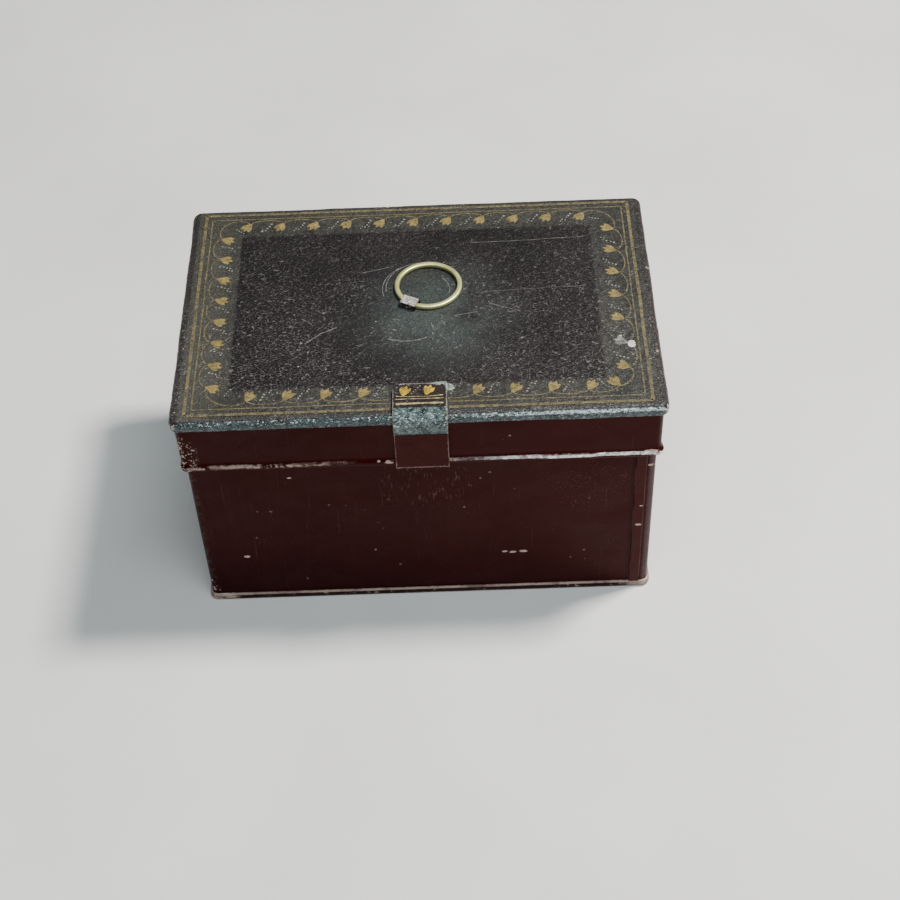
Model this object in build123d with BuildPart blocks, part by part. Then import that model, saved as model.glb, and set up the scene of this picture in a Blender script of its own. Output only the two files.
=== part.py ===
"""Wind-up music box in a japanned tin case with a hinged telescoping lid.

Frame: origin at the centre of the base, +X to the right along the width,
+Y to the back (hinge side), +Z up. Millimetres.
"""

from build123d import *
import math
import os
import random

# ---------------------------------------------------------------- case sizes
TIN = 0.4                 # tinplate thickness
LID_W = 120.0             # lid top, left to right
LID_D = 79.5              # lid top, front to back
LID_Z = 70.0              # upper face of the lid
ROLL_H = 3.0              # height of the lid's rolled edge
ROLL_R = 1.4              # outer radius of the rolled edge
OVERHANG_X = 1.3          # lid top stands this far outside the skirt's ends
OVERHANG = 0.8            # and this far outside its front and back
SKIRT_W = LID_W - 2 * OVERHANG_X
SKIRT_D = LID_D - 2 * OVERHANG
SKIRT_R = 1.6             # vertical corner radius
SKIRT_BOT = 52.5          # lower edge of the skirt
SKIRT_TOP = LID_Z - 1.2
HEM_H = 1.6               # folded hem at the skirt's lower edge
HEM_T = 0.35              # how far the hem stands out
SWING_GAP = 1.3           # skirt to body, lets the front edge swing over the rim
END_GAP = 0.35            # skirt to body at the two ends
BODY_W = SKIRT_W - 2 * TIN - 2 * END_GAP
BODY_D = SKIRT_D - 2 * TIN - 2 * SWING_GAP
BODY_R = 1.4
BODY_TOP = 69.4           # side and back rims, just under the closed lid
FRONT_TOP = 65.5          # lower front rim, clears the swinging skirt
BEAD_H = 2.1              # rolled bead of the bottom
BEAD_OUT = 0.7            # how far the bead stands out from the walls
FLOOR_Z = BEAD_H - TIN    # underside of the recessed floor
SEAM_X = 54.3             # lap seam near the right end of the front
SEAM_W = 2.8
SEAM_T = 0.5
SEAM_TOP = 51.8

# ---------------------------------------------------------------- lid hinge
HINGE_Y = 39.6
HINGE_Z = 51.2
KNUCKLE_R = 1.2
HINGE_PIN_R = 0.6
HINGE_FREE_R = 0.64       # bore of the lid's knuckles
HINGE_HALF = 30.0
KNUCKLE_L = 12.0
KNUCKLE_GAP = 0.1

# ------------------------------------------------------ strap, ring and clip
STRAP_X = 0.45            # centre of the strap
STRAP_W = 13.1
STRAP_T = 1.0
STRAP_REAR = -29.5
STRAP_FRONT = -40.8       # outer face in front of the rolled edge
CLIP_X, CLIP_Y = -1.85, -0.8
CLIP_DEG = -28.0          # long axis of the clip
CLIP_L = 4.2
CLIP_IN = 2.42            # inner width of the channel
CLIP_IN_H = 1.65
CLIP_T = 0.3
RING_DEG = 54.0           # direction from the clip to the ring's centre
RING_R = 8.05             # mean radius of the ring
RING_WIRE = 0.6
RING_Z = LID_Z + 0.1 + RING_WIRE

# ---------------------------------------------------------- movement layout
BED_W, BED_D, BED_T = 104.0, 64.0, 2.5
BED_Z = 8.0               # underside of the bedplate
BED_TOP = BED_Z + BED_T
PILLAR_X, PILLAR_Y = 47.0, 27.0
BAR_X, BAR_Y = -35.0, 5.0     # barrel axis, vertical
CYL_Y, CYL_Z = 5.0, 26.0      # cylinder axis, along X
CYL_X0, CYL_X1 = -13.0, 30.0
CYL_R = 7.9
PIN_H = 0.55
PIN_R = 0.17
GOV_Y = 20.1                  # governor arbor, along X at CYL_Z
WORM_X, WORM_Y = 38.2, 27.8   # worm and fly axis, vertical

CROWN_TEETH, CROWN_R = 48, 14.4
CYL_PINION_TEETH = 12
CROWN_MODULE = 0.6
WHEEL_TEETH, GOV_PINION_TEETH = 50, 10
WORM_WHEEL_TEETH = 24
FINE_MODULE = 0.5
RATCHET_TEETH, RATCHET_TIP, RATCHET_ROOT = 24, 7.0, 6.1
SQUARE = 2.1                  # squared end of the barrel arbor
COCK_Z, COCK_T = 26.0, 2.5    # barrel cock plate
RATCHET_Z, RATCHET_T = 28.7, 1.5

COMB_TEETH = 28
COMB_PITCH = 1.5
COMB_Z, COMB_T = 25.5, 0.9
COMB_TIP_Y = CYL_Y - (CYL_R + PIN_H + 0.1)

BED_SCREWS = [
    (BAR_X, BAR_Y - 20), (BAR_X, BAR_Y + 20),
    (-16.8, 1.8), (-16.8, 8.2), (37.5, 1.8), (37.5, 8.2),
    (-10, -27.2), (9, -25), (27, -23), (32, 30), (46, 19.5),
]
COMB_SCREWS = [(-10, -27.2), (9, -25), (27, -23)]
CORNERS = [(sx * PILLAR_X, sy * PILLAR_Y) for sx in (-1, 1) for sy in (-1, 1)]

os.makedirs("parts", exist_ok=True)


def save(builder, name):
    builder.part.label = name
    export_step(builder.part, f"parts/{name}.step")


def polar(radius, degrees):
    angle = math.radians(degrees)
    return radius * math.cos(angle), radius * math.sin(angle)


def gear_outline(teeth, module, start, centre, share=0.40):
    """Outline of a gear about centre with one tooth centred on the direction start."""
    pitch_r = module * teeth / 2
    pitch = 360.0 / teeth
    steps = [
        (pitch_r - 1.15 * module, -0.62 * share),
        (pitch_r, -0.5 * share),
        (pitch_r + 0.45 * module, -0.36 * share),
        (pitch_r + 0.8 * module, -0.2 * share),
        (pitch_r + 0.8 * module, 0.2 * share),
        (pitch_r + 0.45 * module, 0.36 * share),
        (pitch_r, 0.5 * share),
        (pitch_r - 1.15 * module, 0.62 * share),
    ]
    around = [
        polar(radius, start + pitch * (tooth + part))
        for tooth in range(teeth)
        for radius, part in steps
    ]
    return [(centre[0] + u, centre[1] + v) for u, v in around]


# ==================================================================== CASE
with BuildPart() as bottom_plate:
    with BuildSketch():
        RectangleRounded(BODY_W + 2 * BEAD_OUT, BODY_D + 2 * BEAD_OUT, BODY_R + BEAD_OUT)
    extrude(amount=BEAD_H)
    fillet(bottom_plate.edges().group_by(Axis.Z)[-1], 0.68)
    fillet(bottom_plate.edges().group_by(Axis.Z)[0], 0.8)
    with BuildSketch():
        RectangleRounded(BODY_W - 1.8, BODY_D - 1.8, BODY_R - 0.9)
    extrude(amount=FLOOR_Z, mode=Mode.SUBTRACT)
    with Locations(*[(x, y, 0) for x, y in CORNERS]):
        Cylinder(1.05, 10, mode=Mode.SUBTRACT)
save(bottom_plate, "bottom_plate")

with BuildPart() as body_wrap:
    with BuildSketch(Plane.XY.offset(BEAD_H)):
        RectangleRounded(BODY_W, BODY_D, BODY_R)
        RectangleRounded(BODY_W - 2 * TIN, BODY_D - 2 * TIN, BODY_R - TIN, mode=Mode.SUBTRACT)
    extrude(amount=BODY_TOP - BEAD_H)
    # inward hem of the side and back rims
    with BuildSketch(Plane.XY.offset(BODY_TOP - 1.8)):
        RectangleRounded(BODY_W - TIN, BODY_D - TIN, BODY_R - TIN / 2)
        RectangleRounded(BODY_W - 4 * TIN, BODY_D - 4 * TIN, BODY_R - 2 * TIN, mode=Mode.SUBTRACT)
    extrude(amount=1.8)
    # the front rim is lower
    with Locations((0, -BODY_D / 2, (FRONT_TOP + LID_Z) / 2)):
        Box(BODY_W + 2, 4.5, LID_Z - FRONT_TOP, mode=Mode.SUBTRACT)
    with Locations((0, -BODY_D / 2 + 1.5 * TIN, FRONT_TOP - 0.9)):
        Box(BODY_W - 2 * BODY_R, 1.02 * TIN, 1.8)
    # folded lap seam
    with BuildSketch(Plane.XY.offset(BEAD_H)):
        with Locations((SEAM_X, -BODY_D / 2)):
            RectangleRounded(SEAM_W, 2 * SEAM_T, 0.45)
        with Locations((SEAM_X, -BODY_D / 2 + TIN / 2 + 1)):
            Rectangle(SEAM_W + 1, 2, mode=Mode.SUBTRACT)
    extrude(amount=SEAM_TOP - BEAD_H)
save(body_wrap, "body_wrap")

with BuildPart() as case_screws:
    for x, y in CORNERS:
        with BuildSketch(Plane((x, y, 0.4))):
            Circle(2.5)
            Rectangle(5, 0.6, mode=Mode.SUBTRACT)
        extrude(amount=0.5)
        with BuildSketch(Plane((x, y, 0.9))):
            Circle(2.5)
        extrude(amount=FLOOR_Z - 0.9)
        with BuildSketch(Plane((x, y, FLOOR_Z))):
            Circle(1.0)
        extrude(amount=BED_TOP - 0.3 - FLOOR_Z)
save(case_screws, "case_screws")

with BuildPart() as bed_pillars:
    with BuildSketch(Plane.XY.offset(BEAD_H)):
        with Locations(*CORNERS):
            Circle(3.0)
            Circle(1.05, mode=Mode.SUBTRACT)
    extrude(amount=BED_Z - BEAD_H)
save(bed_pillars, "bed_pillars")


def knuckle_spans(case_side):
    """X ranges of the hinge knuckles, five in all, three on the case."""
    edges = [-HINGE_HALF + i * KNUCKLE_L for i in range(5)]
    picked = edges[0::2] if case_side else edges[1::2]
    return [(e + KNUCKLE_GAP / 2, e + KNUCKLE_L - KNUCKLE_GAP / 2) for e in picked]


with BuildPart() as hinge_leaf_case:
    with Locations((0, BODY_D / 2 + TIN / 2, HINGE_Z - 4.6)):
        Box(2 * HINGE_HALF, TIN, 7.6)
    for x0, x1 in knuckle_spans(True):
        with BuildSketch(Plane.YZ.offset(x0)):
            with Locations((HINGE_Y, HINGE_Z)):
                Circle(KNUCKLE_R)
            with BuildLine():
                Polyline(
                    (BODY_D / 2, HINGE_Z - KNUCKLE_R), (HINGE_Y, HINGE_Z - KNUCKLE_R),
                    (HINGE_Y, HINGE_Z - 0.8), (BODY_D / 2, HINGE_Z - 0.8), close=True,
                )
            make_face()
            with Locations((HINGE_Y, HINGE_Z)):
                Circle(HINGE_PIN_R, mode=Mode.SUBTRACT)
        extrude(amount=x1 - x0)
save(hinge_leaf_case, "hinge_leaf_case")

with BuildPart() as hinge_leaf_lid:
    hem_face = SKIRT_D / 2 + HEM_T
    with Locations((0, hem_face + TIN / 2, SKIRT_BOT + 3.25)):
        Box(2 * HINGE_HALF, TIN, 6.5)
    for x0, x1 in knuckle_spans(False):
        with BuildSketch(Plane.YZ.offset(x0)):
            with Locations((HINGE_Y, HINGE_Z)):
                Circle(KNUCKLE_R)
            with Locations((hem_face + TIN / 2, SKIRT_BOT - 0.2)):
                Rectangle(TIN, 0.8)
            with Locations((HINGE_Y, HINGE_Z)):
                Circle(HINGE_FREE_R, mode=Mode.SUBTRACT)
        extrude(amount=x1 - x0)
save(hinge_leaf_lid, "hinge_leaf_lid")

with BuildPart() as hinge_pin:
    with BuildSketch(Plane.YZ.offset(-HINGE_HALF - 0.4)):
        with Locations((HINGE_Y, HINGE_Z)):
            Circle(HINGE_PIN_R)
    extrude(amount=2 * HINGE_HALF + 0.8)
    fillet(hinge_pin.edges(), 0.2)
save(hinge_pin, "hinge_pin")

# ===================================================================== LID
clip_across = CLIP_IN / 2 + CLIP_T / 2
clip_top_plane = Plane(origin=(CLIP_X, CLIP_Y, LID_Z), x_dir=(*polar(1, CLIP_DEG), 0), z_dir=(0, 0, 1))

with BuildPart() as lid_top:
    with BuildSketch(Plane.XY.offset(LID_Z - ROLL_H)):
        RectangleRounded(LID_W, LID_D, SKIRT_R + OVERHANG)
    extrude(amount=ROLL_H)
    fillet(lid_top.edges().group_by(Axis.Z)[-1], ROLL_R)
    fillet(lid_top.edges().group_by(Axis.Z)[0], 0.35)
    with BuildSketch(Plane.XY.offset(LID_Z - ROLL_H)):
        RectangleRounded(SKIRT_W, SKIRT_D, SKIRT_R)
    extrude(amount=ROLL_H - TIN, mode=Mode.SUBTRACT)
    fillet(lid_top.edges().filter_by_position(Axis.Z, LID_Z - TIN - 0.01, LID_Z - TIN + 0.01), 0.6)
    with BuildSketch(clip_top_plane):
        with Locations((0, clip_across), (0, -clip_across)):
            Rectangle(2.44, CLIP_T + 0.04)
    extrude(amount=-2, mode=Mode.SUBTRACT)
save(lid_top, "lid_top")

with BuildPart() as lid_skirt:
    with BuildSketch(Plane.XY.offset(SKIRT_BOT)):
        RectangleRounded(SKIRT_W, SKIRT_D, SKIRT_R)
    extrude(amount=SKIRT_TOP - SKIRT_BOT)
    with BuildSketch(Plane.XY.offset(SKIRT_BOT)):
        RectangleRounded(SKIRT_W + 2 * HEM_T, SKIRT_D + 2 * HEM_T, SKIRT_R + HEM_T)
    extrude(amount=HEM_H)
    fillet(lid_skirt.edges().group_by(Axis.Z)[0], 0.3)
    with BuildSketch(Plane.XY.offset(SKIRT_BOT)):
        RectangleRounded(SKIRT_W - 2 * TIN, SKIRT_D - 2 * TIN, SKIRT_R - TIN)
    extrude(amount=SKIRT_TOP - SKIRT_BOT, mode=Mode.SUBTRACT)
save(lid_skirt, "lid_skirt")

strap_low = STRAP_FRONT + 0.45
with BuildPart() as front_strap:
    with BuildSketch(Plane.YZ.offset(STRAP_X - STRAP_W / 2)):
        with BuildLine():
            Polyline((STRAP_REAR, LID_Z), (STRAP_REAR, LID_Z + STRAP_T), (-38.0, LID_Z + STRAP_T))
            ThreePointArc(
                (-38.0, LID_Z + STRAP_T), (-39.98, LID_Z + STRAP_T - 0.82),
                (STRAP_FRONT, LID_Z + STRAP_T - 2.8),
            )
            Polyline(
                (STRAP_FRONT, LID_Z + STRAP_T - 2.8), (STRAP_FRONT, LID_Z - 3.4), (strap_low, LID_Z - 4.8),
                (strap_low, SKIRT_BOT), (strap_low + STRAP_T, SKIRT_BOT),
                (strap_low + STRAP_T, LID_Z - 4.4), (STRAP_FRONT + STRAP_T, LID_Z - 3.0),
                (STRAP_FRONT + STRAP_T, LID_Z - 1.5),
            )
            ThreePointArc(
                (STRAP_FRONT + STRAP_T, LID_Z - 1.5), (-39.36, LID_Z - 0.42), (-38.3, LID_Z),
            )
            Line((-38.3, LID_Z), (STRAP_REAR, LID_Z))
        make_face()
    extrude(amount=STRAP_W)
    rear = front_strap.edges().filter_by(Axis.Z).group_by(Axis.Y)[-1]
    fillet(rear, 2.4)
save(front_strap, "front_strap")

with BuildPart() as strap_solder:
    with Locations((8.2, -30.3, LID_Z - 0.35)):
        Sphere(1.15)
    with Locations((8.2, -30.3, LID_Z - 1.5)):
        Box(3, 3, 3, mode=Mode.SUBTRACT)
save(strap_solder, "strap_solder")

clip_section = Plane(
    origin=(CLIP_X, CLIP_Y, LID_Z),
    x_dir=(*polar(1, CLIP_DEG + 90), 0),
    z_dir=(*polar(1, CLIP_DEG), 0),
)
with BuildPart() as ring_clip:
    with BuildSketch(clip_section):
        with Locations((0, (CLIP_IN_H + CLIP_T) / 2)):
            Rectangle(CLIP_IN + 2 * CLIP_T, CLIP_IN_H + CLIP_T)
        with Locations((0, CLIP_IN_H / 2)):
            Rectangle(CLIP_IN, CLIP_IN_H, mode=Mode.SUBTRACT)
    extrude(amount=CLIP_L / 2, both=True)
    top_edges = ring_clip.edges().filter_by(
        lambda e: abs(e.center().Z - LID_Z - CLIP_IN_H - CLIP_T) < 0.01 and e.length > 4
    )
    fillet(top_edges, 0.5)
    with BuildSketch(clip_section):
        with Locations((clip_across, -0.34), (-clip_across, -0.34)):
            Rectangle(CLIP_T, 0.72)
        with Locations((clip_across + 0.7, -TIN - 0.15), (-clip_across - 0.7, -TIN - 0.15)):
            Rectangle(1.7, 0.3)
    extrude(amount=1.2, both=True)
save(ring_clip, "ring_clip")

ring_dx, ring_dy = polar(RING_R, RING_DEG)
with BuildPart() as ring_handle:
    with Locations((CLIP_X + ring_dx, CLIP_Y + ring_dy, RING_Z)):
        Torus(RING_R, RING_WIRE)
save(ring_handle, "ring_handle")

# ============================================================ BEDPLATE
with BuildPart() as bedplate:
    with BuildSketch(Plane.XY.offset(BED_Z)):
        RectangleRounded(BED_W, BED_D, 4)
        with Locations(*CORNERS):
            Circle(1.0, mode=Mode.SUBTRACT)
        with Locations(*BED_SCREWS):
            Circle(1.1, mode=Mode.SUBTRACT)
        with Locations((BAR_X, BAR_Y)):
            Circle(1.25, mode=Mode.SUBTRACT)
    extrude(amount=BED_T)
save(bedplate, "bedplate")

with BuildPart() as bed_screws:
    for x, y in BED_SCREWS:
        with BuildSketch(Plane((x, y, BED_Z - 1.3))):
            Circle(2.0)
            Rectangle(4, 0.5, mode=Mode.SUBTRACT)
        extrude(amount=0.5)
        with BuildSketch(Plane((x, y, BED_Z - 0.8))):
            Circle(2.0)
        extrude(amount=0.8)
        with BuildSketch(Plane((x, y, BED_Z))):
            Circle(1.0)
        extrude(amount=5.5)
save(bed_screws, "bed_screws")

# ============================================================== BARREL
barrel_axis = Plane((BAR_X, BAR_Y, 0))
crown_pitch = 2 * math.pi * CROWN_R / CROWN_TEETH
with BuildPart() as crown_tooth:
    with BuildSketch(Plane.YZ.offset(13.3)):
        with BuildLine():
            Polyline(
                (-0.28 * crown_pitch, 21.3), (-0.19 * crown_pitch, 22.4), (-0.07 * crown_pitch, 22.86),
                (0.07 * crown_pitch, 22.86), (0.19 * crown_pitch, 22.4), (0.28 * crown_pitch, 21.3),
                close=True,
            )
        make_face()
    extrude(amount=2.35)

with BuildPart(barrel_axis) as barrel_drum:
    with BuildSketch(barrel_axis.offset(11.5)):
        Circle(14.5)
    extrude(amount=8.6)
    with BuildSketch(barrel_axis.offset(20.1)):
        Circle(15.7)
    extrude(amount=1.5)
    with PolarLocations(0, CROWN_TEETH, start_angle=180.0 / CROWN_TEETH):
        add(crown_tooth.part)
    with BuildSketch(barrel_axis.offset(12.3)):
        Circle(13.2)
    extrude(amount=12, mode=Mode.SUBTRACT)
    with BuildSketch(barrel_axis.offset(11)):
        Circle(1.62)
    extrude(amount=3, mode=Mode.SUBTRACT)
save(barrel_drum, "barrel_drum")

with BuildPart() as barrel_cap:
    with BuildSketch(barrel_axis.offset(20.7)):
        Circle(13.2)
        Circle(1.62, mode=Mode.SUBTRACT)
        with Locations((10.5, 0)):
            Rectangle(2.0, 1.2, mode=Mode.SUBTRACT)
    extrude(amount=0.8)
save(barrel_cap, "barrel_cap")


def spiral(turns, r0, r1, shift):
    """Points along a flat spiral, moved outward by shift."""
    count = int(turns * 12)
    return [
        polar(r0 + (r1 - r0) * i / count + shift, 360.0 * turns * i / count)
        for i in range(count + 1)
    ]


with BuildPart() as mainspring:
    inner = spiral(6.5, 4.1, 12.5, 0.0)
    outer = spiral(6.5, 4.1, 12.5, 0.35)
    with BuildSketch(barrel_axis.offset(12.7)):
        with BuildLine():
            Spline(*inner)
            Line(inner[-1], outer[-1])
            Spline(*outer)
            Line(inner[0], outer[0])
        make_face()
    extrude(amount=7.6)
save(mainspring, "mainspring")

with BuildPart() as barrel_arbor:
    arbor_steps = [
        (8.4, 1.2, 2.3), (10.7, 1.55, 1.7), (12.4, 3.2, 8.2), (20.6, 1.55, RATCHET_Z - 0.1 - 20.6),
    ]
    for z, radius, height in arbor_steps:
        with BuildSketch(barrel_axis.offset(z)):
            Circle(radius)
        extrude(amount=height)
    with BuildSketch(barrel_axis.offset(RATCHET_Z - 0.1)):
        Rectangle(SQUARE, SQUARE)
    extrude(amount=8)
save(barrel_arbor, "barrel_arbor")

with BuildPart() as barrel_cock:
    with BuildSketch(barrel_axis.offset(BED_TOP)):
        with Locations((0, -20), (0, 20)):
            Circle(3.2)
    extrude(amount=COCK_Z - BED_TOP)
    with BuildSketch(barrel_axis.offset(COCK_Z)):
        SlotOverall(47, 9, rotation=90)
        Circle(14)
        with Locations((10, 0)):
            Rectangle(12, 40, mode=Mode.SUBTRACT)
        Circle(1.62, mode=Mode.SUBTRACT)
    extrude(amount=COCK_T)
    with BuildSketch(barrel_axis.offset(COCK_Z + 1.0)):
        with Locations((-8.4, -7.5)):
            Circle(0.9)
    extrude(amount=COCK_T, mode=Mode.SUBTRACT)
    with BuildSketch(barrel_axis.offset(BED_TOP)):
        with Locations((0, -20), (0, 20)):
            Circle(1.0)
    extrude(amount=3.0, mode=Mode.SUBTRACT)
save(barrel_cock, "barrel_cock")

with BuildPart() as ratchet_wheel:
    ratchet_points = []
    for tooth in range(RATCHET_TEETH):
        ratchet_points.append(polar(RATCHET_ROOT, 360.0 * tooth / RATCHET_TEETH))
        ratchet_points.append(polar(RATCHET_TIP, 360.0 * (tooth + 1) / RATCHET_TEETH))
    with BuildSketch(barrel_axis.offset(RATCHET_Z)):
        with BuildLine():
            Polyline(*ratchet_points, close=True)
        make_face()
        Rectangle(SQUARE, SQUARE, mode=Mode.SUBTRACT)
    extrude(amount=RATCHET_T)
save(ratchet_wheel, "ratchet_wheel")

with BuildPart() as click:
    with BuildSketch(barrel_axis.offset(RATCHET_Z)):
        with Locations((-8.4, -7.5)):
            Circle(1.8)
        with BuildLine():
            Polyline(
                (-7.12, -0.25), (-7.9, 0.35), (-8.9, -0.6), (-9.5, -3.0), (-9.9, -6.8),
                (-7.0, -6.6), (-7.7, -2.6), close=True,
            )
        make_face()
        with Locations((-8.4, -7.5)):
            Circle(0.95, mode=Mode.SUBTRACT)
    extrude(amount=RATCHET_T)
save(click, "click")

with BuildPart() as click_screw:
    click_axis = Plane((BAR_X - 8.4, BAR_Y - 7.5, 0))
    with BuildSketch(click_axis.offset(COCK_Z + 1.0)):
        Circle(0.9)
    extrude(amount=RATCHET_Z + RATCHET_T + 0.1 - COCK_Z - 1.0)
    with BuildSketch(click_axis.offset(RATCHET_Z + RATCHET_T + 0.1)):
        Circle(1.6)
    extrude(amount=0.5)
    with BuildSketch(click_axis.offset(RATCHET_Z + RATCHET_T + 0.6)):
        Circle(1.6)
        Rectangle(4, 0.45, mode=Mode.SUBTRACT)
    extrude(amount=0.4)
save(click_screw, "click_screw")

with BuildPart() as click_spring:
    with BuildSketch(barrel_axis.offset(COCK_Z + COCK_T)):
        with Locations((-11.6, 4.6)):
            Rectangle(1.6, 3.0)
    extrude(amount=1.7)
    with BuildSketch(barrel_axis.offset(COCK_Z + COCK_T + 0.3)):
        with BuildLine():
            Polyline((-11.6, 3.4), (-10.5, -5.4), (-10.25, -5.4), (-11.3, 3.4), close=True)
        make_face()
    extrude(amount=1.3)
save(click_spring, "click_spring")

with BuildPart() as winding_key:
    key_z = RATCHET_Z + RATCHET_T + 0.4
    with BuildSketch(barrel_axis.offset(key_z)):
        Circle(2.6)
    extrude(amount=10)
    with BuildSketch(Plane.XZ.offset(-BAR_Y)):
        with Locations((BAR_X - 5.4, key_z + 13), (BAR_X + 5.4, key_z + 13)):
            Circle(4.8)
        with Locations((BAR_X, key_z + 10.5)):
            Rectangle(9, 6)
        with Locations((BAR_X - 5.8, key_z + 13.2), (BAR_X + 5.8, key_z + 13.2)):
            Circle(1.7, mode=Mode.SUBTRACT)
    extrude(amount=0.8, both=True)
    with BuildSketch(barrel_axis.offset(key_z)):
        Rectangle(SQUARE, SQUARE)
    extrude(amount=RATCHET_Z + 7.9 - key_z, mode=Mode.SUBTRACT)
save(winding_key, "winding_key")

# ============================================================ CYLINDER
with BuildPart() as cylinder_arbor:
    for start, end, radius in [(-22.4, -15.2, 1.2), (-15.2, 35.9, 2.0), (35.9, 39.4, 1.2)]:
        with BuildSketch(Plane.YZ.offset(start)):
            with Locations((CYL_Y, CYL_Z)):
                Circle(radius)
        extrude(amount=end - start)
save(cylinder_arbor, "cylinder_arbor")

with BuildPart() as cylinder_tube:
    with BuildSketch(Plane.YZ.offset(CYL_X0)):
        with Locations((CYL_Y, CYL_Z)):
            Circle(CYL_R)
            Circle(CYL_R - 0.7, mode=Mode.SUBTRACT)
    extrude(amount=CYL_X1 - CYL_X0)
save(cylinder_tube, "cylinder_tube")

with BuildPart() as cylinder_caps:
    for start in (CYL_X0, CYL_X1 - 1.2):
        with BuildSketch(Plane.YZ.offset(start)):
            with Locations((CYL_Y, CYL_Z)):
                Circle(CYL_R - 0.7)
                Circle(2.0, mode=Mode.SUBTRACT)
        extrude(amount=1.2)
save(cylinder_caps, "cylinder_caps")

track_x = [-12.0 + COMB_PITCH * (i + 0.5) for i in range(COMB_TEETH)]
rng = random.Random(11)
pin_places = []
for x in track_x:
    angle = rng.uniform(0, 90)
    while angle < 350:
        radial = polar(CYL_R, angle)
        pin_places.append(
            Location((x, CYL_Y + radial[0], CYL_Z + radial[1]), (angle - 90, 0, 0))
        )
        angle += rng.choice([38, 52, 76, 104, 130])
with BuildPart() as cylinder_pins:
    with Locations(*pin_places):
        Cylinder(PIN_R, PIN_H, align=(Align.CENTER, Align.CENTER, Align.MIN))
save(cylinder_pins, "cylinder_pins")

with BuildPart() as cylinder_pinion:
    with BuildSketch(Plane.YZ.offset(BAR_X + CROWN_R - 1.0)):
        with BuildLine():
            Polyline(
                *gear_outline(CYL_PINION_TEETH, CROWN_MODULE, -90, (CYL_Y, CYL_Z), 0.36),
                close=True,
            )
        make_face()
        with Locations((CYL_Y, CYL_Z)):
            Circle(1.2, mode=Mode.SUBTRACT)
    extrude(amount=2.0)
save(cylinder_pinion, "cylinder_pinion")

with BuildPart() as great_wheel:
    with BuildSketch(Plane.YZ.offset(31.4)):
        with BuildLine():
            Polyline(
                *gear_outline(WHEEL_TEETH, FINE_MODULE, 0, (CYL_Y, CYL_Z)), close=True
            )
        make_face()
        with Locations((CYL_Y, CYL_Z)):
            Circle(2.0, mode=Mode.SUBTRACT)
            with PolarLocations(6.8, 4, start_angle=45):
                Circle(2.3, mode=Mode.SUBTRACT)
    extrude(amount=1.6)
save(great_wheel, "great_wheel")

with BuildPart() as cylinder_cocks:
    for start in (-18.3, 36.0):
        with BuildSketch(Plane.YZ.offset(start)):
            with BuildLine():
                Polyline(
                    (CYL_Y - 6.5, BED_TOP), (CYL_Y + 6.5, BED_TOP), (CYL_Y + 6.5, BED_TOP + 3.4),
                    (CYL_Y + 3.8, BED_TOP + 5.5), (CYL_Y + 3.8, CYL_Z), (CYL_Y - 3.8, CYL_Z),
                    (CYL_Y - 3.8, BED_TOP + 5.5), (CYL_Y - 6.5, BED_TOP + 3.4), close=True,
                )
            make_face()
            with Locations((CYL_Y, CYL_Z)):
                Circle(3.8)
                Circle(1.25, mode=Mode.SUBTRACT)
        extrude(amount=3.0)
    with BuildSketch(Plane.XY.offset(BED_TOP)):
        with Locations(*BED_SCREWS[2:6]):
            Circle(1.0)
    extrude(amount=3.0, mode=Mode.SUBTRACT)
save(cylinder_cocks, "cylinder_cocks")

# ================================================================ COMB
def root_y(x):
    """Root line of the comb's teeth: long bass teeth at the left."""
    return -23.0 + 8.5 * (x + 13.0) / 43.0


with BuildPart() as comb:
    with BuildSketch(Plane.XY.offset(COMB_Z)):
        with BuildLine():
            Polyline(
                (-14.0, -29.3), (31.5, -29.3), (31.5, root_y(31.5)), (-14.0, root_y(-14.0)),
                close=True,
            )
        make_face()
        for x in track_x:
            with BuildLine():
                Polyline(
                    (x - 0.56, root_y(x) - 1.0), (x + 0.56, root_y(x) - 1.0),
                    (x + 0.56, COMB_TIP_Y - 1.3), (x + 0.22, COMB_TIP_Y),
                    (x - 0.22, COMB_TIP_Y), (x - 0.56, COMB_TIP_Y - 1.3), close=True,
                )
            make_face()
        with Locations(*COMB_SCREWS):
            Circle(1.1, mode=Mode.SUBTRACT)
    extrude(amount=COMB_T)
save(comb, "comb")

with BuildPart() as comb_base:
    with BuildSketch(Plane.XY.offset(BED_TOP)):
        with BuildLine():
            Polyline(
                (-14.0, -29.5), (31.5, -29.5), (31.5, root_y(31.5) - 1.6),
                (-14.0, root_y(-14.0) - 1.6), close=True,
            )
        make_face()
    extrude(amount=COMB_Z - BED_TOP)
    with BuildSketch(Plane.XY.offset(BED_TOP)):
        with Locations(*COMB_SCREWS):
            Circle(1.0)
    extrude(amount=3.0, mode=Mode.SUBTRACT)
    with BuildSketch(Plane.XY.offset(COMB_Z)):
        with Locations(*COMB_SCREWS):
            Circle(1.0)
    extrude(amount=-5.5, mode=Mode.SUBTRACT)
save(comb_base, "comb_base")

with BuildPart() as comb_screws:
    for x, y in COMB_SCREWS:
        with BuildSketch(Plane((x, y, COMB_Z - 5.5))):
            Circle(1.0)
        extrude(amount=5.5 + COMB_T)
        with BuildSketch(Plane((x, y, COMB_Z + COMB_T))):
            Circle(1.9)
        extrude(amount=0.7)
        with BuildSketch(Plane((x, y, COMB_Z + COMB_T + 0.7))):
            Circle(1.9)
            Rectangle(4, 0.5, mode=Mode.SUBTRACT)
        extrude(amount=0.5)
save(comb_screws, "comb_screws")

# ============================================================ GOVERNOR
with BuildPart() as governor_arbor:
    for start, end, radius in [(28.8, 30.5, 0.7), (30.5, 41.9, 0.9), (41.9, 43.8, 0.7)]:
        with BuildSketch(Plane.YZ.offset(start)):
            with Locations((GOV_Y, CYL_Z)):
                Circle(radius)
        extrude(amount=end - start)
save(governor_arbor, "governor_arbor")

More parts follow.
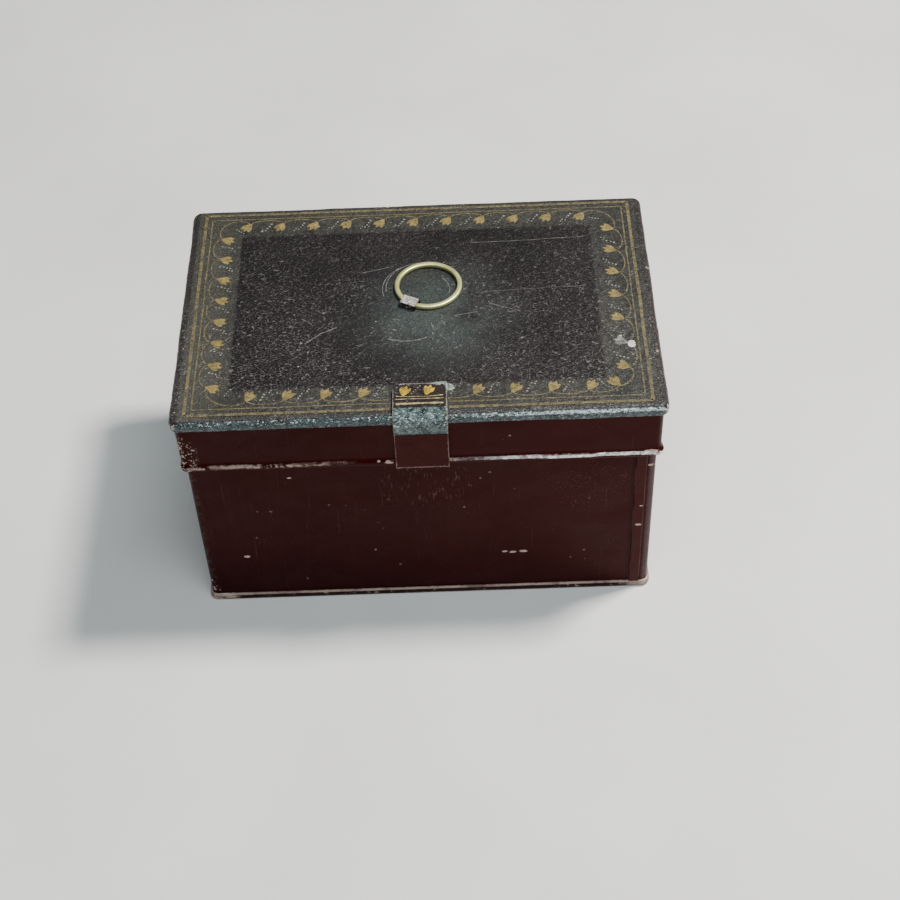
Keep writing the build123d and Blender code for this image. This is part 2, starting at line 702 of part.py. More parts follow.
with BuildPart() as governor_pinion:
    with BuildSketch(Plane.YZ.offset(30.8)):
        with BuildLine():
            Polyline(
                *gear_outline(GOV_PINION_TEETH, FINE_MODULE, 180 + 18, (GOV_Y, CYL_Z)),
                close=True,
            )
        make_face()
        with Locations((GOV_Y, CYL_Z)):
            Circle(0.9, mode=Mode.SUBTRACT)
    extrude(amount=2.8)
save(governor_pinion, "governor_pinion")

with BuildPart() as worm_wheel:
    with BuildSketch(Plane.YZ.offset(37.3)):
        with BuildLine():
            Polyline(
                *gear_outline(WORM_WHEEL_TEETH, FINE_MODULE, 0, (GOV_Y, CYL_Z), 0.30),
                close=True,
            )
        make_face()
        with Locations((GOV_Y, CYL_Z)):
            Circle(0.9, mode=Mode.SUBTRACT)
            with PolarLocations(3.4, 3, start_angle=30):
                Circle(1.1, mode=Mode.SUBTRACT)
    extrude(amount=1.8)
save(worm_wheel, "worm_wheel")

worm_axis = Plane((WORM_X, WORM_Y, 0))
WORM_LEAD = math.pi * FINE_MODULE
WORM_R = 1.6
WORM_TURNS = 6
# the gap between two turns faces the wheel's tooth at the wheel's height
worm_start = CYL_Z - 3.25 * WORM_LEAD
with BuildPart() as worm_spindle:
    spindle_steps = [(14.6, 0.6, 2.5), (17.1, 0.8, 28.7), (45.8, 0.6, 2.6)]
    for z, radius, height in spindle_steps:
        with BuildSketch(worm_axis.offset(z)):
            Circle(radius)
        extrude(amount=height)
    with BuildSketch(worm_axis.offset(20.2)):
        Circle(1.15)
    extrude(amount=10.4)
    with BuildSketch(worm_axis.offset(30.6)):
        Circle(2.4)
    extrude(amount=2.0)
    with BuildLine() as worm_helix:
        Helix(
            WORM_LEAD, WORM_LEAD * WORM_TURNS, WORM_R,
            center=(WORM_X, WORM_Y, worm_start),
        )
    with BuildSketch(
        Plane(origin=worm_helix.line @ 0, x_dir=(1, 0, 0), z_dir=worm_helix.line % 0)
    ):
        with BuildLine():
            Polyline(
                (-0.6, -0.33), (0.38, -0.11), (0.38, 0.11), (-0.6, 0.33), close=True,
            )
        make_face()
    sweep(path=worm_helix.line, is_frenet=True)
save(worm_spindle, "worm_spindle")

with BuildPart() as fly:
    with BuildSketch(worm_axis.offset(33.5)):
        Circle(1.6)
    extrude(amount=3.0)
    with BuildSketch(Plane.XZ.offset(-WORM_Y)):
        with Locations((WORM_X, 39.5)):
            RectangleRounded(14.8, 10.0, 1.2)
    extrude(amount=0.15, both=True)
    with BuildSketch(worm_axis.offset(36.5)):
        Circle(1.1)
    extrude(amount=8.0)
    with BuildSketch(worm_axis.offset(33)):
        Circle(0.8)
    extrude(amount=13, mode=Mode.SUBTRACT)
save(fly, "fly")

with BuildPart() as governor_cock:
    with BuildSketch(Plane.XY.offset(BED_TOP)):
        with Locations((39, 25)):
            RectangleRounded(20.8, 16, 1.5)
    extrude(amount=3.7)
    with BuildSketch(worm_axis.offset(14.2)):
        Circle(2.4)
    extrude(amount=2.8)
    for start, end, top in ((28.6, 30.4, 29.5), (42.0, 44.0, 31.0)):
        with BuildSketch(Plane.YZ.offset(start)):
            with Locations((GOV_Y, (14.0 + top) / 2)):
                Rectangle(6.2, top - 14.0)
        extrude(amount=end - start)
    with Locations((47.9, WORM_Y, 31.3)):
        Box(3.0, 5.0, 34.4)
    with Locations((42.6, WORM_Y, 47.25)):
        Box(13.6, 4.4, 2.5)
    with BuildSketch(Plane.YZ.offset(28)):
        with Locations((GOV_Y, CYL_Z)):
            Circle(0.75)
    extrude(amount=17, mode=Mode.SUBTRACT)
    with BuildSketch(worm_axis.offset(14.5)):
        Circle(0.65)
    extrude(amount=40, mode=Mode.SUBTRACT)
    with BuildSketch(Plane.XY.offset(BED_TOP)):
        with Locations(*BED_SCREWS[9:]):
            Circle(1.0)
    extrude(amount=3.0, mode=Mode.SUBTRACT)
    with BuildSketch(Plane((43, 18.5, 28.5))):
        Circle(0.6)
    extrude(amount=4, mode=Mode.SUBTRACT)
save(governor_cock, "governor_cock")

with BuildPart() as start_lever:
    with BuildSketch(Plane.XY.offset(31.1)):
        with Locations((43, 18.5)):
            Circle(2.4)
        with BuildLine():
            Polyline(
                (40.9, 19.2), (41.5, 25.4), (WORM_X + 2.45, 26.4), (WORM_X + 2.45, 29.2),
                (42.0, 29.6), (42.7, 28.6), (42.9, 25.0), (44.6, 20.2), close=True,
            )
        make_face()
        with BuildLine():
            Polyline((41.2, 17.2), (45.0, 19.2), (50.8, 6.6), (48.6, 5.4), close=True)
        make_face()
        with Locations((43, 18.5)):
            Circle(0.66, mode=Mode.SUBTRACT)
    extrude(amount=1.0)
    with BuildSketch(Plane.XY.offset(31.1)):
        with Locations((49.7, 6.0)):
            Rectangle(2.5, 1.0, rotation=28.5)
    extrude(amount=6.0)
save(start_lever, "start_lever")

with BuildPart() as lever_screw:
    with BuildSketch(Plane((43, 18.5, 28.5))):
        Circle(0.6)
    extrude(amount=3.7)
    with BuildSketch(Plane((43, 18.5, 32.2))):
        Circle(1.4)
    extrude(amount=0.5)
    with BuildSketch(Plane((43, 18.5, 32.7))):
        Circle(1.4)
        Rectangle(3, 0.4, mode=Mode.SUBTRACT)
    extrude(amount=0.4)
save(lever_screw, "lever_screw")
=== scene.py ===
"""Wind-up music box in a japanned tin case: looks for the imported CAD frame."""

import math

import bpy
from mathutils import Matrix, Vector, noise


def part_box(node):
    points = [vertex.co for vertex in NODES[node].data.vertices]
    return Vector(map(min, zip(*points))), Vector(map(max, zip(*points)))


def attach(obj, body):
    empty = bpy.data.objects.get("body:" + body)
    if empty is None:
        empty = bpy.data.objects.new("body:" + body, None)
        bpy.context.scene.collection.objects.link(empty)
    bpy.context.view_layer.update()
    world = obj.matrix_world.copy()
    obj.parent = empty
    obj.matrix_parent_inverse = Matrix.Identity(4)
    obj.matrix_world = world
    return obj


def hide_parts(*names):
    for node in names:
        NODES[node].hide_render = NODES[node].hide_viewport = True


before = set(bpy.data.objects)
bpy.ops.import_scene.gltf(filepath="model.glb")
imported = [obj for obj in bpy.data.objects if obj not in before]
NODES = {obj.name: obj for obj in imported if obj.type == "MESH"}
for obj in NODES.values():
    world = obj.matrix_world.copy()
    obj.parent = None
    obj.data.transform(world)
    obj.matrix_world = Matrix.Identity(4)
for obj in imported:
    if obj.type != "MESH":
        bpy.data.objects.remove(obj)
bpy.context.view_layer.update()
MM = 0.001


def cad(node):
    """Lowest and highest corner of a CAD node, in millimetres."""
    low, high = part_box(node)
    return [c / MM for c in low], [c / MM for c in high]


LID_LO, LID_HI = cad("lid_top")
SKIRT_LO, SKIRT_HI = cad("lid_skirt")
STRAP_LO, STRAP_HI = cad("front_strap")
RING_LO, RING_HI = cad("ring_handle")
CLIP_LO, CLIP_HI = cad("ring_clip")
STRAP_MID = (STRAP_LO[0] + STRAP_HI[0]) / 2
RING_X, RING_Y, RING_Z = [(low + high) / 2 for low, high in zip(RING_LO, RING_HI)]
LID_W = LID_HI[0] - LID_LO[0]
LID_D = LID_HI[1] - LID_LO[1]
LID_Z = LID_HI[2]
HEM_OUT = 0.35
SKIRT_W = SKIRT_HI[0] - SKIRT_LO[0] - 2 * HEM_OUT
SKIRT_D = SKIRT_HI[1] - SKIRT_LO[1] - 2 * HEM_OUT
SKIRT_Z = SKIRT_LO[2]
SKIRT_R = 1.6
LID_R = 2.4
BODY_LO, BODY_HI = cad("body_wrap")
# vertices along the long and the short sides of the lid's sheets, and half their length
SHEET_NX, SHEET_NY = 150, 104
HALF_LENGTH = 60.0
SEAM_LEFT, SEAM_RIGHT = 52.9, 55.7
PANEL_HALF_W, PANEL_HALF_D = 45.7, 28.5
WIDE_FRAME, THIN_FRAME = (56.0, 37.0, 0.8), (54.3, 35.1, 0.34)    # half width, half depth, line width
VINE_LINE = 0.3


# ------------------------------------------------------------------ meshes
def make_object(name, verts, faces, body, material, smooth=True, sharp=None):
    """A mesh object from millimetre vertices that rides on a CAD body."""
    mesh = bpy.data.meshes.new(name)
    mesh.from_pydata([(x * MM, y * MM, z * MM) for x, y, z in verts], [], faces)
    mesh.validate()
    if smooth:
        mesh.polygons.foreach_set("use_smooth", [True] * len(mesh.polygons))
    mesh.update()
    obj = bpy.data.objects.new(name, mesh)
    bpy.context.collection.objects.link(obj)
    mesh.materials.append(material)
    if sharp is not None:
        mesh.set_sharp_from_angle(angle=math.radians(sharp))
    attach(obj, body)
    return obj


def wobble(x, y, z, scale, seed):
    """Smooth noise from -1 to 1 at a point in millimetres."""
    return noise.noise(Vector((x * scale + seed, y * scale - seed, z * scale + 0.37 * seed)))


def outline(width, depth, radius, nx, ny, arc=4):
    """Rounded rectangle, counter-clockwise from the middle of the front left corner."""
    cx, cy = width / 2 - radius, depth / 2 - radius
    corners = [(-cx, -cy, 180), (cx, -cy, 270), (cx, cy, 0), (-cx, cy, 90)]
    points = []
    for side, count in enumerate((nx, ny, nx, ny)):
        ax, ay, a0 = corners[side]
        bx, by, b0 = corners[(side + 1) % 4]
        for i in range(count):
            if i < arc:
                angle = math.radians(a0 + 45 + 45 * i / arc)
                points.append((ax + radius * math.cos(angle), ay + radius * math.sin(angle)))
            elif i <= count - arc:
                angle = math.radians(a0 + 90)
                t = (i - arc) / (count - 2 * arc)
                ex, ey = radius * math.cos(angle), radius * math.sin(angle)
                points.append((ax + (bx - ax) * t + ex, ay + (by - ay) * t + ey))
            else:
                angle = math.radians(b0 + 45 * (i - count + arc) / arc)
                points.append((bx + radius * math.cos(angle), by + radius * math.sin(angle)))
    return points


def loft(rings, closed):
    """Vertices and quads through equal rings of points; closed joins last to first."""
    n = len(rings[0])
    verts = [p for ring in rings for p in ring]
    faces = []
    for r in range(len(rings) if closed else len(rings) - 1):
        a, b = r * n, ((r + 1) % len(rings)) * n
        for i in range(n):
            j = (i + 1) % n
            faces.append((a + i, a + j, b + j, b + i))
    return verts, faces


def patch(verts, faces, ring_start, nx, ny, flip):
    """Fills a ring of 2(nx+ny) vertices with a smooth grid."""
    ring = [Vector(verts[ring_start + i]) for i in range(2 * (nx + ny))]
    front = ring[0:nx + 1]
    right = ring[nx:nx + ny + 1]
    back = ring[nx + ny:2 * nx + ny + 1][::-1]
    left = (ring[2 * nx + ny:] + [ring[0]])[::-1]
    index = {}
    for i in range(nx + 1):
        index[(i, 0)] = ring_start + i
        index[(i, ny)] = ring_start + 2 * nx + ny - i
    for j in range(1, ny):
        index[(nx, j)] = ring_start + nx + j
        index[(0, j)] = ring_start + 2 * (nx + ny) - j
    for j in range(1, ny):
        v = j / ny
        for i in range(1, nx):
            u = i / nx
            p = (front[i] * (1 - v) + back[i] * v + left[j] * (1 - u) + right[j] * u
                 - (front[0] * (1 - u) * (1 - v) + front[nx] * u * (1 - v)
                    + back[0] * (1 - u) * v + back[nx] * u * v))
            index[(i, j)] = len(verts)
            verts.append(tuple(p))
    for j in range(ny):
        for i in range(nx):
            quad = (index[(i, j)], index[(i + 1, j)], index[(i + 1, j + 1)], index[(i, j + 1)])
            faces.append(quad[::-1] if flip else quad)


def shell_ring(width, depth, radius, inset, z):
    """One level of a sheet: a rounded rectangle, set in from the outside."""
    corner = max(radius - inset, 0.25)
    points = outline(width - 2 * inset, depth - 2 * inset, corner, SHEET_NX, SHEET_NY)
    return [(x, y, z) for x, y in points]


# --------------------------------------------------------------- materials
class Shader:
    """Small helper that builds one procedural material."""

    def __init__(self, name):
        self.mat = bpy.data.materials.new(name)
        self.mat.use_nodes = True
        self.tree = self.mat.node_tree
        self.bsdf = self.tree.nodes["Principled BSDF"]
        coords = self.add("ShaderNodeTexCoord")
        scale = self.add("ShaderNodeMapping")
        scale.inputs["Scale"].default_value = (1000, 1000, 1000)
        self.link(coords.outputs["Object"], scale.inputs["Vector"])
        self.pos = scale.outputs["Vector"]

    def add(self, kind, **settings):
        node = self.tree.nodes.new(kind)
        for key, value in settings.items():
            setattr(node, key, value)
        return node

    def link(self, a, b):
        self.tree.links.new(a, b)

    def put(self, socket, value):
        if hasattr(value, "is_output"):
            self.link(value, socket)
        else:
            socket.default_value = value

    def math(self, op, a, b=0.0, c=0.0):
        node = self.add("ShaderNodeMath", operation=op)
        self.put(node.inputs[0], a)
        self.put(node.inputs[1], b)
        self.put(node.inputs[2], c)
        return node.outputs[0]

    def mul(self, a, b):
        return self.math("MULTIPLY", a, b)

    def muladd(self, a, b, c):
        return self.math("MULTIPLY_ADD", a, b, c)

    def plus(self, a, b):
        return self.math("ADD", a, b)

    def minus(self, a, b):
        return self.math("SUBTRACT", a, b)

    def absolute(self, a):
        return self.math("ABSOLUTE", a)

    def most(self, *values):
        """The largest of several masks."""
        found = values[0]
        for value in values[1:]:
            found = self.math("MAXIMUM", found, value)
        return found

    def mapped(self, vector=None, scale=(1, 1, 1), rotation=(0, 0, 0), location=(0, 0, 0)):
        node = self.add("ShaderNodeMapping")
        self.link(vector or self.pos, node.inputs["Vector"])
        node.inputs["Scale"].default_value = scale
        node.inputs["Rotation"].default_value = [math.radians(a) for a in rotation]
        node.inputs["Location"].default_value = location
        return node.outputs["Vector"]

    def noise(self, scale, detail=3.0, rough=0.55, vector=None, distortion=0.0):
        node = self.add("ShaderNodeTexNoise")
        self.link(vector or self.pos, node.inputs["Vector"])
        node.inputs["Scale"].default_value = scale
        node.inputs["Detail"].default_value = detail
        node.inputs["Roughness"].default_value = rough
        node.inputs["Distortion"].default_value = distortion
        return node.outputs["Fac"]

    def voronoi(self, scale, feature="F1", vector=None, output="Distance"):
        node = self.add("ShaderNodeTexVoronoi", feature=feature)
        self.link(vector or self.pos, node.inputs["Vector"])
        node.inputs["Scale"].default_value = scale
        return node.outputs[output]

    def ramp(self, value, low, high, out_low=0.0, out_high=1.0):
        """Smooth step of value between low and high."""
        node = self.add("ShaderNodeMapRange", interpolation_type="SMOOTHSTEP")
        self.put(node.inputs["Value"], value)
        for key, number in zip(("From Min", "From Max", "To Min", "To Max"), (low, high, out_low, out_high)):
            node.inputs[key].default_value = number
        return node.outputs["Result"]

    def band(self, value, low, high, soft):
        """1 where value lies between low and high."""
        up = self.ramp(value, low - soft, low + soft)
        down = self.ramp(value, high - soft, high + soft, 1.0, 0.0)
        return self.mul(up, down)

    def near(self, centre, size, ragged):
        """1 inside a ragged ellipsoid round a point."""
        node = self.add("ShaderNodeMapping")
        self.link(self.pos, node.inputs["Vector"])
        node.inputs["Scale"].default_value = [1.0 / r for r in size]
        node.inputs["Location"].default_value = [-c / r for c, r in zip(centre, size)]
        far = self.add("ShaderNodeVectorMath", operation="LENGTH")
        self.link(node.outputs["Vector"], far.inputs[0])
        shift = self.muladd(self.noise(1.1, 4.0, 0.7), ragged * 1.4, -ragged * 0.7)
        return self.ramp(self.math("ADD", far.outputs["Value"], shift), 0.75, 1.0, 1.0, 0.0)

    def mix(self, fac, a, b):
        node = self.add("ShaderNodeMix", data_type="RGBA")
        self.put(node.inputs["Factor"], fac)
        self.put(node.inputs["A"], (*a, 1) if isinstance(a, tuple) else a)
        self.put(node.inputs["B"], (*b, 1) if isinstance(b, tuple) else b)
        return node.outputs["Result"]

    def axes(self, vector=None):
        node = self.add("ShaderNodeSeparateXYZ")
        self.link(vector or self.pos, node.inputs[0])
        return node.outputs

    def bump(self, height, distance, strength=1.0, normal=None):
        node = self.add("ShaderNodeBump")
        node.inputs["Strength"].default_value = strength
        node.inputs["Distance"].default_value = distance * MM
        self.link(height, node.inputs["Height"])
        if normal is not None:
            self.link(normal, node.inputs["Normal"])
        return node.outputs["Normal"]

    def finish(self, **sockets):
        for key, value in sockets.items():
            self.put(self.bsdf.inputs[key.replace("_", " ")], value)
        return self.mat


def scratches(s, density, angle, seed):
    """Thin scratch lines running along one direction, 0 to 1."""
    vec = s.mapped(scale=(0.035, 2.6, 1.0), rotation=(0, 0, angle), location=(seed, seed * 2.0, 0))
    line = s.noise(1.0, 2.0, 0.5, vec, 0.25)
    return s.ramp(line, 0.5 + density, 0.5 + density + 0.03)


def flecks(s, scale, size, seed=0.0):
    """Scattered small specks, 0 to 1."""
    vec = s.mapped(location=(seed, seed * 1.7, seed * 0.6))
    return s.ramp(s.voronoi(scale, "F1", vec), size, size * 1.8, 1.0, 0.0)


def leather(s):
    """Crinkled varnish: (height, ridges), a fine broken net of ridges that lean to the right."""
    leaning = s.mapped(scale=(0.62, 1.25, 1.0), rotation=(0, 0, -26))
    folds = s.noise(1.0, 2.0, 0.5, leaning, 1.1)
    net = s.ramp(s.voronoi(1.3, "DISTANCE_TO_EDGE", leaning), 0.015, 0.12, 1.0, 0.0)
    ridges = s.mul(net, s.ramp(s.noise(1.3, 3.0, 0.6), 0.40, 0.58, 0.12, 1.0))
    height = s.muladd(folds, 0.6, s.mul(ridges, 1.4))
    return height, ridges


def chipped_corners(s, width, depth, height, size):
    """Bare patches on the four upright corners, 0 to 1."""
    found = []
    for sx, sy, grow in ((-1, -1, 1.25), (1, -1, 1.0), (1, 1, 0.8), (-1, 1, 0.75)):
        r = size * grow
        found.append(s.near((sx * width / 2, sy * depth / 2, height), (r, r, r), 0.9))
    return s.most(*found)


def unevenness(s):
    """Noise shared by the lid's marks: a ragged offset, wide clouds and small mottling."""
    ragged = s.muladd(s.noise(0.9, 3.0), 0.9, -0.45)
    return ragged, s.noise(0.05, 4.0, 0.6), s.noise(0.35, 4.0, 0.65)


def panel_and_border(s, x, y, ragged, cloud, mottled):
    """Dark panel and greener border: (colour, distance outside the panel, rim)."""
    dx = s.minus(s.absolute(s.plus(x, 0.25)), PANEL_HALF_W)
    dy = s.minus(s.absolute(s.plus(y, 0.5)), PANEL_HALF_D)
    outside = s.plus(s.most(dx, dy), ragged)
    panel = s.mix(s.ramp(cloud, 0.35, 0.7), PANEL_DARK, PANEL_LIGHT)
    border = s.mix(s.ramp(mottled, 0.3, 0.7), BORDER_DARK, BORDER_LIGHT)
    # the left and back borders are lighter: they have faded more, and carry a painted sheen
    faded_and_sheen = s.most(s.ramp(x, -44.0, -52.0), s.mul(s.ramp(y, 28.0, 34.0), 0.35))
    border = s.mix(s.mul(faded_and_sheen, 0.55), border, BORDER_FADED_AND_SHEEN)
    colour = s.mix(s.ramp(outside, -0.3, 0.3), panel, border)
    # a greenish painted sheen, a reflection, round the ring
    squares = s.plus(s.math("POWER", s.minus(x, 4.0), 2.0), s.math("POWER", s.plus(y, 4.0), 2.0))
    radius = s.math("SQRT", squares)
    sheen_patch = s.mul(s.ramp(radius, 3.0, 26.0, 1.0, 0.0), s.ramp(cloud, 0.3, 0.6))
    colour = s.mix(s.mul(sheen_patch, 0.8), colour, SHEEN)
    rim = s.most(s.ramp(s.absolute(x), 57.4, 58.2), s.ramp(y, 38.0, 38.6))
    rim = s.ramp(s.plus(rim, s.mul(ragged, 0.9)), 0.3, 0.7)
    return s.mix(s.mul(rim, 0.75), colour, RIM_DARK), outside, rim


def scratched_leather(s, x):
    """Crinkled varnish with long scratches: (height, ridges, scratches)."""
    height, ridges = leather(s)
    lines = s.most(s.mul(scratches(s, 0.2, 2, 11.0), s.ramp(x, 8.0, 22.0)),
                   s.mul(scratches(s, 0.225, -38, 3.0), 0.5), s.mul(scratches(s, 0.235, 67, 7.0), 0.5))
    return s.muladd(lines, -0.25, height), ridges, lines


def lit_leather(s, y, colour, ridges, lines):
    """Adds painted highlights on the ridges, dust specks and scratches to a colour."""
    strength = s.ramp(s.noise(0.05, 3.0, 0.6, s.mapped(location=(31, 8, 2))), 0.32, 0.62, 0.3, 1.0)
    # strongest near the front of the panel
    strength = s.mul(strength, s.ramp(y, -20.0, 24.0, 1.0, 0.55))
    # painted highlights on the crinkle ridges
    ridge_highlight = s.mul(s.mul(ridges, strength), s.ramp(s.noise(0.7, 3.0, 0.6), 0.36, 0.6, 0.35, 1.0))
    colour = s.mix(s.mul(ridge_highlight, 0.8), colour, RIDGE_HIGHLIGHT)
    specks = s.mul(flecks(s, 0.22, 0.035), s.ramp(s.noise(0.11, 2.0), 0.5, 0.58))
    colour = s.mix(s.mul(specks, 0.7), colour, (0.40, 0.38, 0.33))
    return s.mix(s.mul(lines, 0.35), colour, (0.14, 0.12, 0.115))


def slanted_glints(s):
    """Short leaning glints: (the noise behind them, the glints)."""
    slanted = s.noise(1.5, 3.0, 0.6, s.mapped(scale=(0.8, 1.0, 1.3), rotation=(0, 38, 0)))
    return slanted, s.most(s.ramp(slanted, 0.56, 0.64), flecks(s, 1.15, 0.14, 4.0))


def shiny_roll(s, x, colour, roll, line, glint, light):
    """Painted teal-grey reflection with painted glints along a line, where the front edge rolls over."""
    teal_reflection = s.mix(s.ramp(s.noise(0.5, 4.0, 0.7), 0.35, 0.65), TEAL_REFLECTION_DARK, light)
    colour = s.mix(s.mul(roll, 0.9), colour, teal_reflection)
    glint = s.mul(glint, s.muladd(line, 0.75, 0.25))
    glint = s.mul(s.mul(glint, roll), s.ramp(x, -60.0, 50.0, 0.55, 1.0))
    # the near-white glints are painted highlights
    return s.mix(glint, colour, (0.66, 0.78, 0.80))


def finish_lid(s, colour, height, roll, specular):
    normal = s.bump(s.noise(0.055, 2.0, 0.5), 1.6, 0.5)
    rough = s.muladd(roll, -0.12, s.muladd(s.noise(0.5, 4.0, 0.6), 0.2, 0.34))
    return s.finish(Base_Color=colour, Roughness=rough, Normal=s.bump(height, 0.26, 1.0, normal),
                    Specular_IOR_Level=specular)


def strap_paint(name):
    """The strap: the lid's varnish on top, a painted teal reflection over the bend, and dark varnish with a
    painted red reflection down its front.
    """
    s = Shader(name)
    x, y, z = s.axes()
    ragged, _, mottled = unevenness(s)
    top = s.mix(s.ramp(mottled, 0.3, 0.7), (0.010, 0.0062, 0.006), (0.022, 0.013, 0.012))
    height = scratched_leather(s, x)[0]
    flat_front = s.ramp(z, LID_Z - 5.9, LID_Z - 5.4, 1.0, 0.0)
    roll = s.mul(s.ramp(y, -37.9, -37.4, 1.0, 0.0), s.ramp(z, LID_Z - 5.9, LID_Z - 5.4))
    glint = s.mul(slanted_glints(s)[1], s.ramp(s.noise(0.3, 3.0, 0.6), 0.35, 0.6, 0.6, 1.0))
    glint = s.mul(glint, s.ramp(z, LID_Z - 4.8, LID_Z - 3.0, 0.35, 1.0))
    line = s.band(z, LID_Z - 2.6, LID_Z + 0.4, 0.5)
    colour = shiny_roll(s, x, top, roll, line, glint, STRAP_TEAL_REFLECTION)
    brown = s.mix(s.noise(0.25, 4.0, 0.6), (0.026, 0.0020, 0.0014), (0.042, 0.0055, 0.0042))
    colour = s.mix(flat_front, colour, brown)
    seam = s.band(s.plus(z, ragged), LID_Z - 6.1, LID_Z - 5.5, 0.15)
    colour = s.mix(s.mul(seam, 0.8), colour, (0.012, 0.006, 0.006))
    # its edges are rubbed to the tin
    flank = s.plus(s.absolute(s.minus(x, STRAP_MID)), s.muladd(s.noise(1.2, 4.0, 0.7), 0.8, -0.4))
    low = s.plus(z, s.muladd(s.noise(1.0, 4.0), -0.8, 0.4))
    rear = s.plus(y, s.muladd(s.noise(1.1, 4.0), 0.9, -0.45))
    bare = s.most(s.ramp(flank, 6.22, 6.42), s.ramp(low, SKIRT_Z + 0.25, SKIRT_Z + 0.5, 1.0, 0.0),
                  s.ramp(rear, -29.9, -29.7))
    bare = s.mul(bare, s.ramp(s.noise(0.7, 4.0, 0.7), 0.35, 0.55, 0.25, 0.95))
    upper_edge = s.mix(s.noise(0.5, 3.0), (0.30, 0.27, 0.20), (0.16, 0.145, 0.115))
    lower_edge = s.mix(s.noise(0.6, 3.0), (0.26, 0.185, 0.165), (0.09, 0.045, 0.040))
    colour = s.mix(bare, colour, s.mix(flat_front, upper_edge, lower_edge))
    height = s.mul(height, s.muladd(flat_front, -0.85, 1.0))
    return finish_lid(s, colour, height, roll, s.ramp(flat_front, 0.2, 0.8, 0.42, 0.06))


def lid_paint(name):
    """Aged japan varnish of the lid, crinkled like leather."""
    s = Shader(name)
    x, y, z = s.axes()
    ragged, cloud, mottled = unevenness(s)
    colour, outside, rim = panel_and_border(s, x, y, ragged, cloud, mottled)
    height, ridges, lines = scratched_leather(s, x)
    colour = lit_leather(s, y, colour, ridges, lines)
    roll = s.mul(s.ramp(z, LID_Z - 0.42, LID_Z - 0.12, 1.0, 0.0), s.ramp(y, -38.3, -37.7, 1.0, 0.0))
    slanted, glint = slanted_glints(s)
    line = s.band(s.muladd(ragged, 0.5, z), LID_Z - 1.15, LID_Z - 0.45, 0.25)
    # broken glints at the left run together into a bright line at the right
    solid_line = s.mul(line, s.ramp(x, 2.0, 34.0, 0.0, 0.6))
    glint = s.most(glint, s.mul(solid_line, s.ramp(slanted, 0.36, 0.5)))
    colour = shiny_roll(s, x, colour, roll, line, glint, TEAL_REFLECTION_LIGHT)
    chips = chipped_corners(s, LID_W, LID_D, LID_Z - 1.2, 1.5)
    chips = s.most(chips, s.mul(s.mul(rim, flecks(s, 0.30, 0.10, 9.0)), 0.6))
    colour = s.mix(chips, colour, s.mix(s.noise(1.1, 3.0), (0.62, 0.55, 0.42), (0.35, 0.26, 0.18)))
    height = s.muladd(chips, -0.6, height)
    # the underside, inside the skirt, is plain varnish
    inner = s.mul(s.ramp(s.absolute(x), LID_W / 2 - 0.85, LID_W / 2 - 0.75, 1.0, 0.0),
                  s.ramp(s.absolute(y), LID_D / 2 - 0.85, LID_D / 2 - 0.75, 1.0, 0.0))
    inner = s.mul(inner, s.ramp(z, LID_Z - 0.32, LID_Z - 0.26, 1.0, 0.0))
    plain = s.mix(s.ramp(cloud, 0.35, 0.7), DARK_VARNISH_AND_RED_REFLECTION, WORN_VARNISH_AND_RED_REFLECTION)
    spotted = s.mul(s.ramp(s.noise(0.8, 5.0, 0.75), 0.6, 0.68), s.ramp(cloud, 0.4, 0.6))
    plain = s.mix(s.mul(spotted, 0.5), plain, (0.16, 0.10, 0.07))
    colour = s.mix(inner, colour, plain)
    height = s.mul(height, s.muladd(inner, -0.8, 1.0))
    return finish_lid(s, colour, height, roll, s.ramp(outside, -1.0, 1.0, 0.30, 0.42))


def varnish_and_red_reflection(s, x):
    """Dark japan varnish with a painted red reflection, with runs, scratches and dust: (colour, scratches,
    bare specks).
    """
    colour = s.mix(s.ramp(s.noise(0.07, 5.0, 0.6), 0.35, 0.7), DARK_VARNISH_AND_RED_REFLECTION, LIGHT_VARNISH_AND_RED_REFLECTION)
    # lighter towards the right
    colour = s.mix(s.ramp(x, -60.0, 60.0, 0.0, 0.55), colour, WORN_VARNISH_AND_RED_REFLECTION)
    streak = s.noise(0.5, 3.0, 0.6, s.mapped(scale=(1.0, 1.0, 0.12)))
    colour = s.mix(s.ramp(streak, 0.5, 0.8, 0.0, 0.35), colour, WORN_VARNISH_AND_RED_REFLECTION)
    found = []
    for turn, level, seed in ((22, 0.715, 3), (-48, 0.73, 9), (81, 0.74, 17)):
        tall = s.mapped(scale=(2.2, 1.0, 0.05), rotation=(0, turn, 0), location=(seed, 1, 2))
        found.append(s.ramp(s.noise(1.0, 2.0, 0.5, tall, 0.3), level, level + 0.04))
    marks = s.most(*found)
    colour = s.mix(s.mul(marks, 0.22), colour, (0.10, 0.05, 0.045))
    dusty = s.mul(flecks(s, 1.3, 0.10, 2.0), s.ramp(s.noise(0.1, 3.0), 0.5, 0.62))
    colour = s.mix(s.mul(dusty, 0.25), colour, (0.16, 0.11, 0.10))
    specks = s.mul(flecks(s, 0.33, 0.085, 6.0), s.ramp(s.noise(0.12, 3.0), 0.58, 0.64))
    specks = s.mul(specks, s.ramp(s.noise(1.9, 4.0, 0.7), 0.44, 0.56))
    return colour, marks, s.mul(specks, 0.6)


def torn_noise(s):
    """Ragged offset and patchy mask for places worn to the tin."""
    ragged = s.muladd(s.noise(0.9, 5.0, 0.7), 1.0, -0.5)
    return ragged, s.ramp(s.noise(0.55, 5.0, 0.7), 0.36, 0.56)


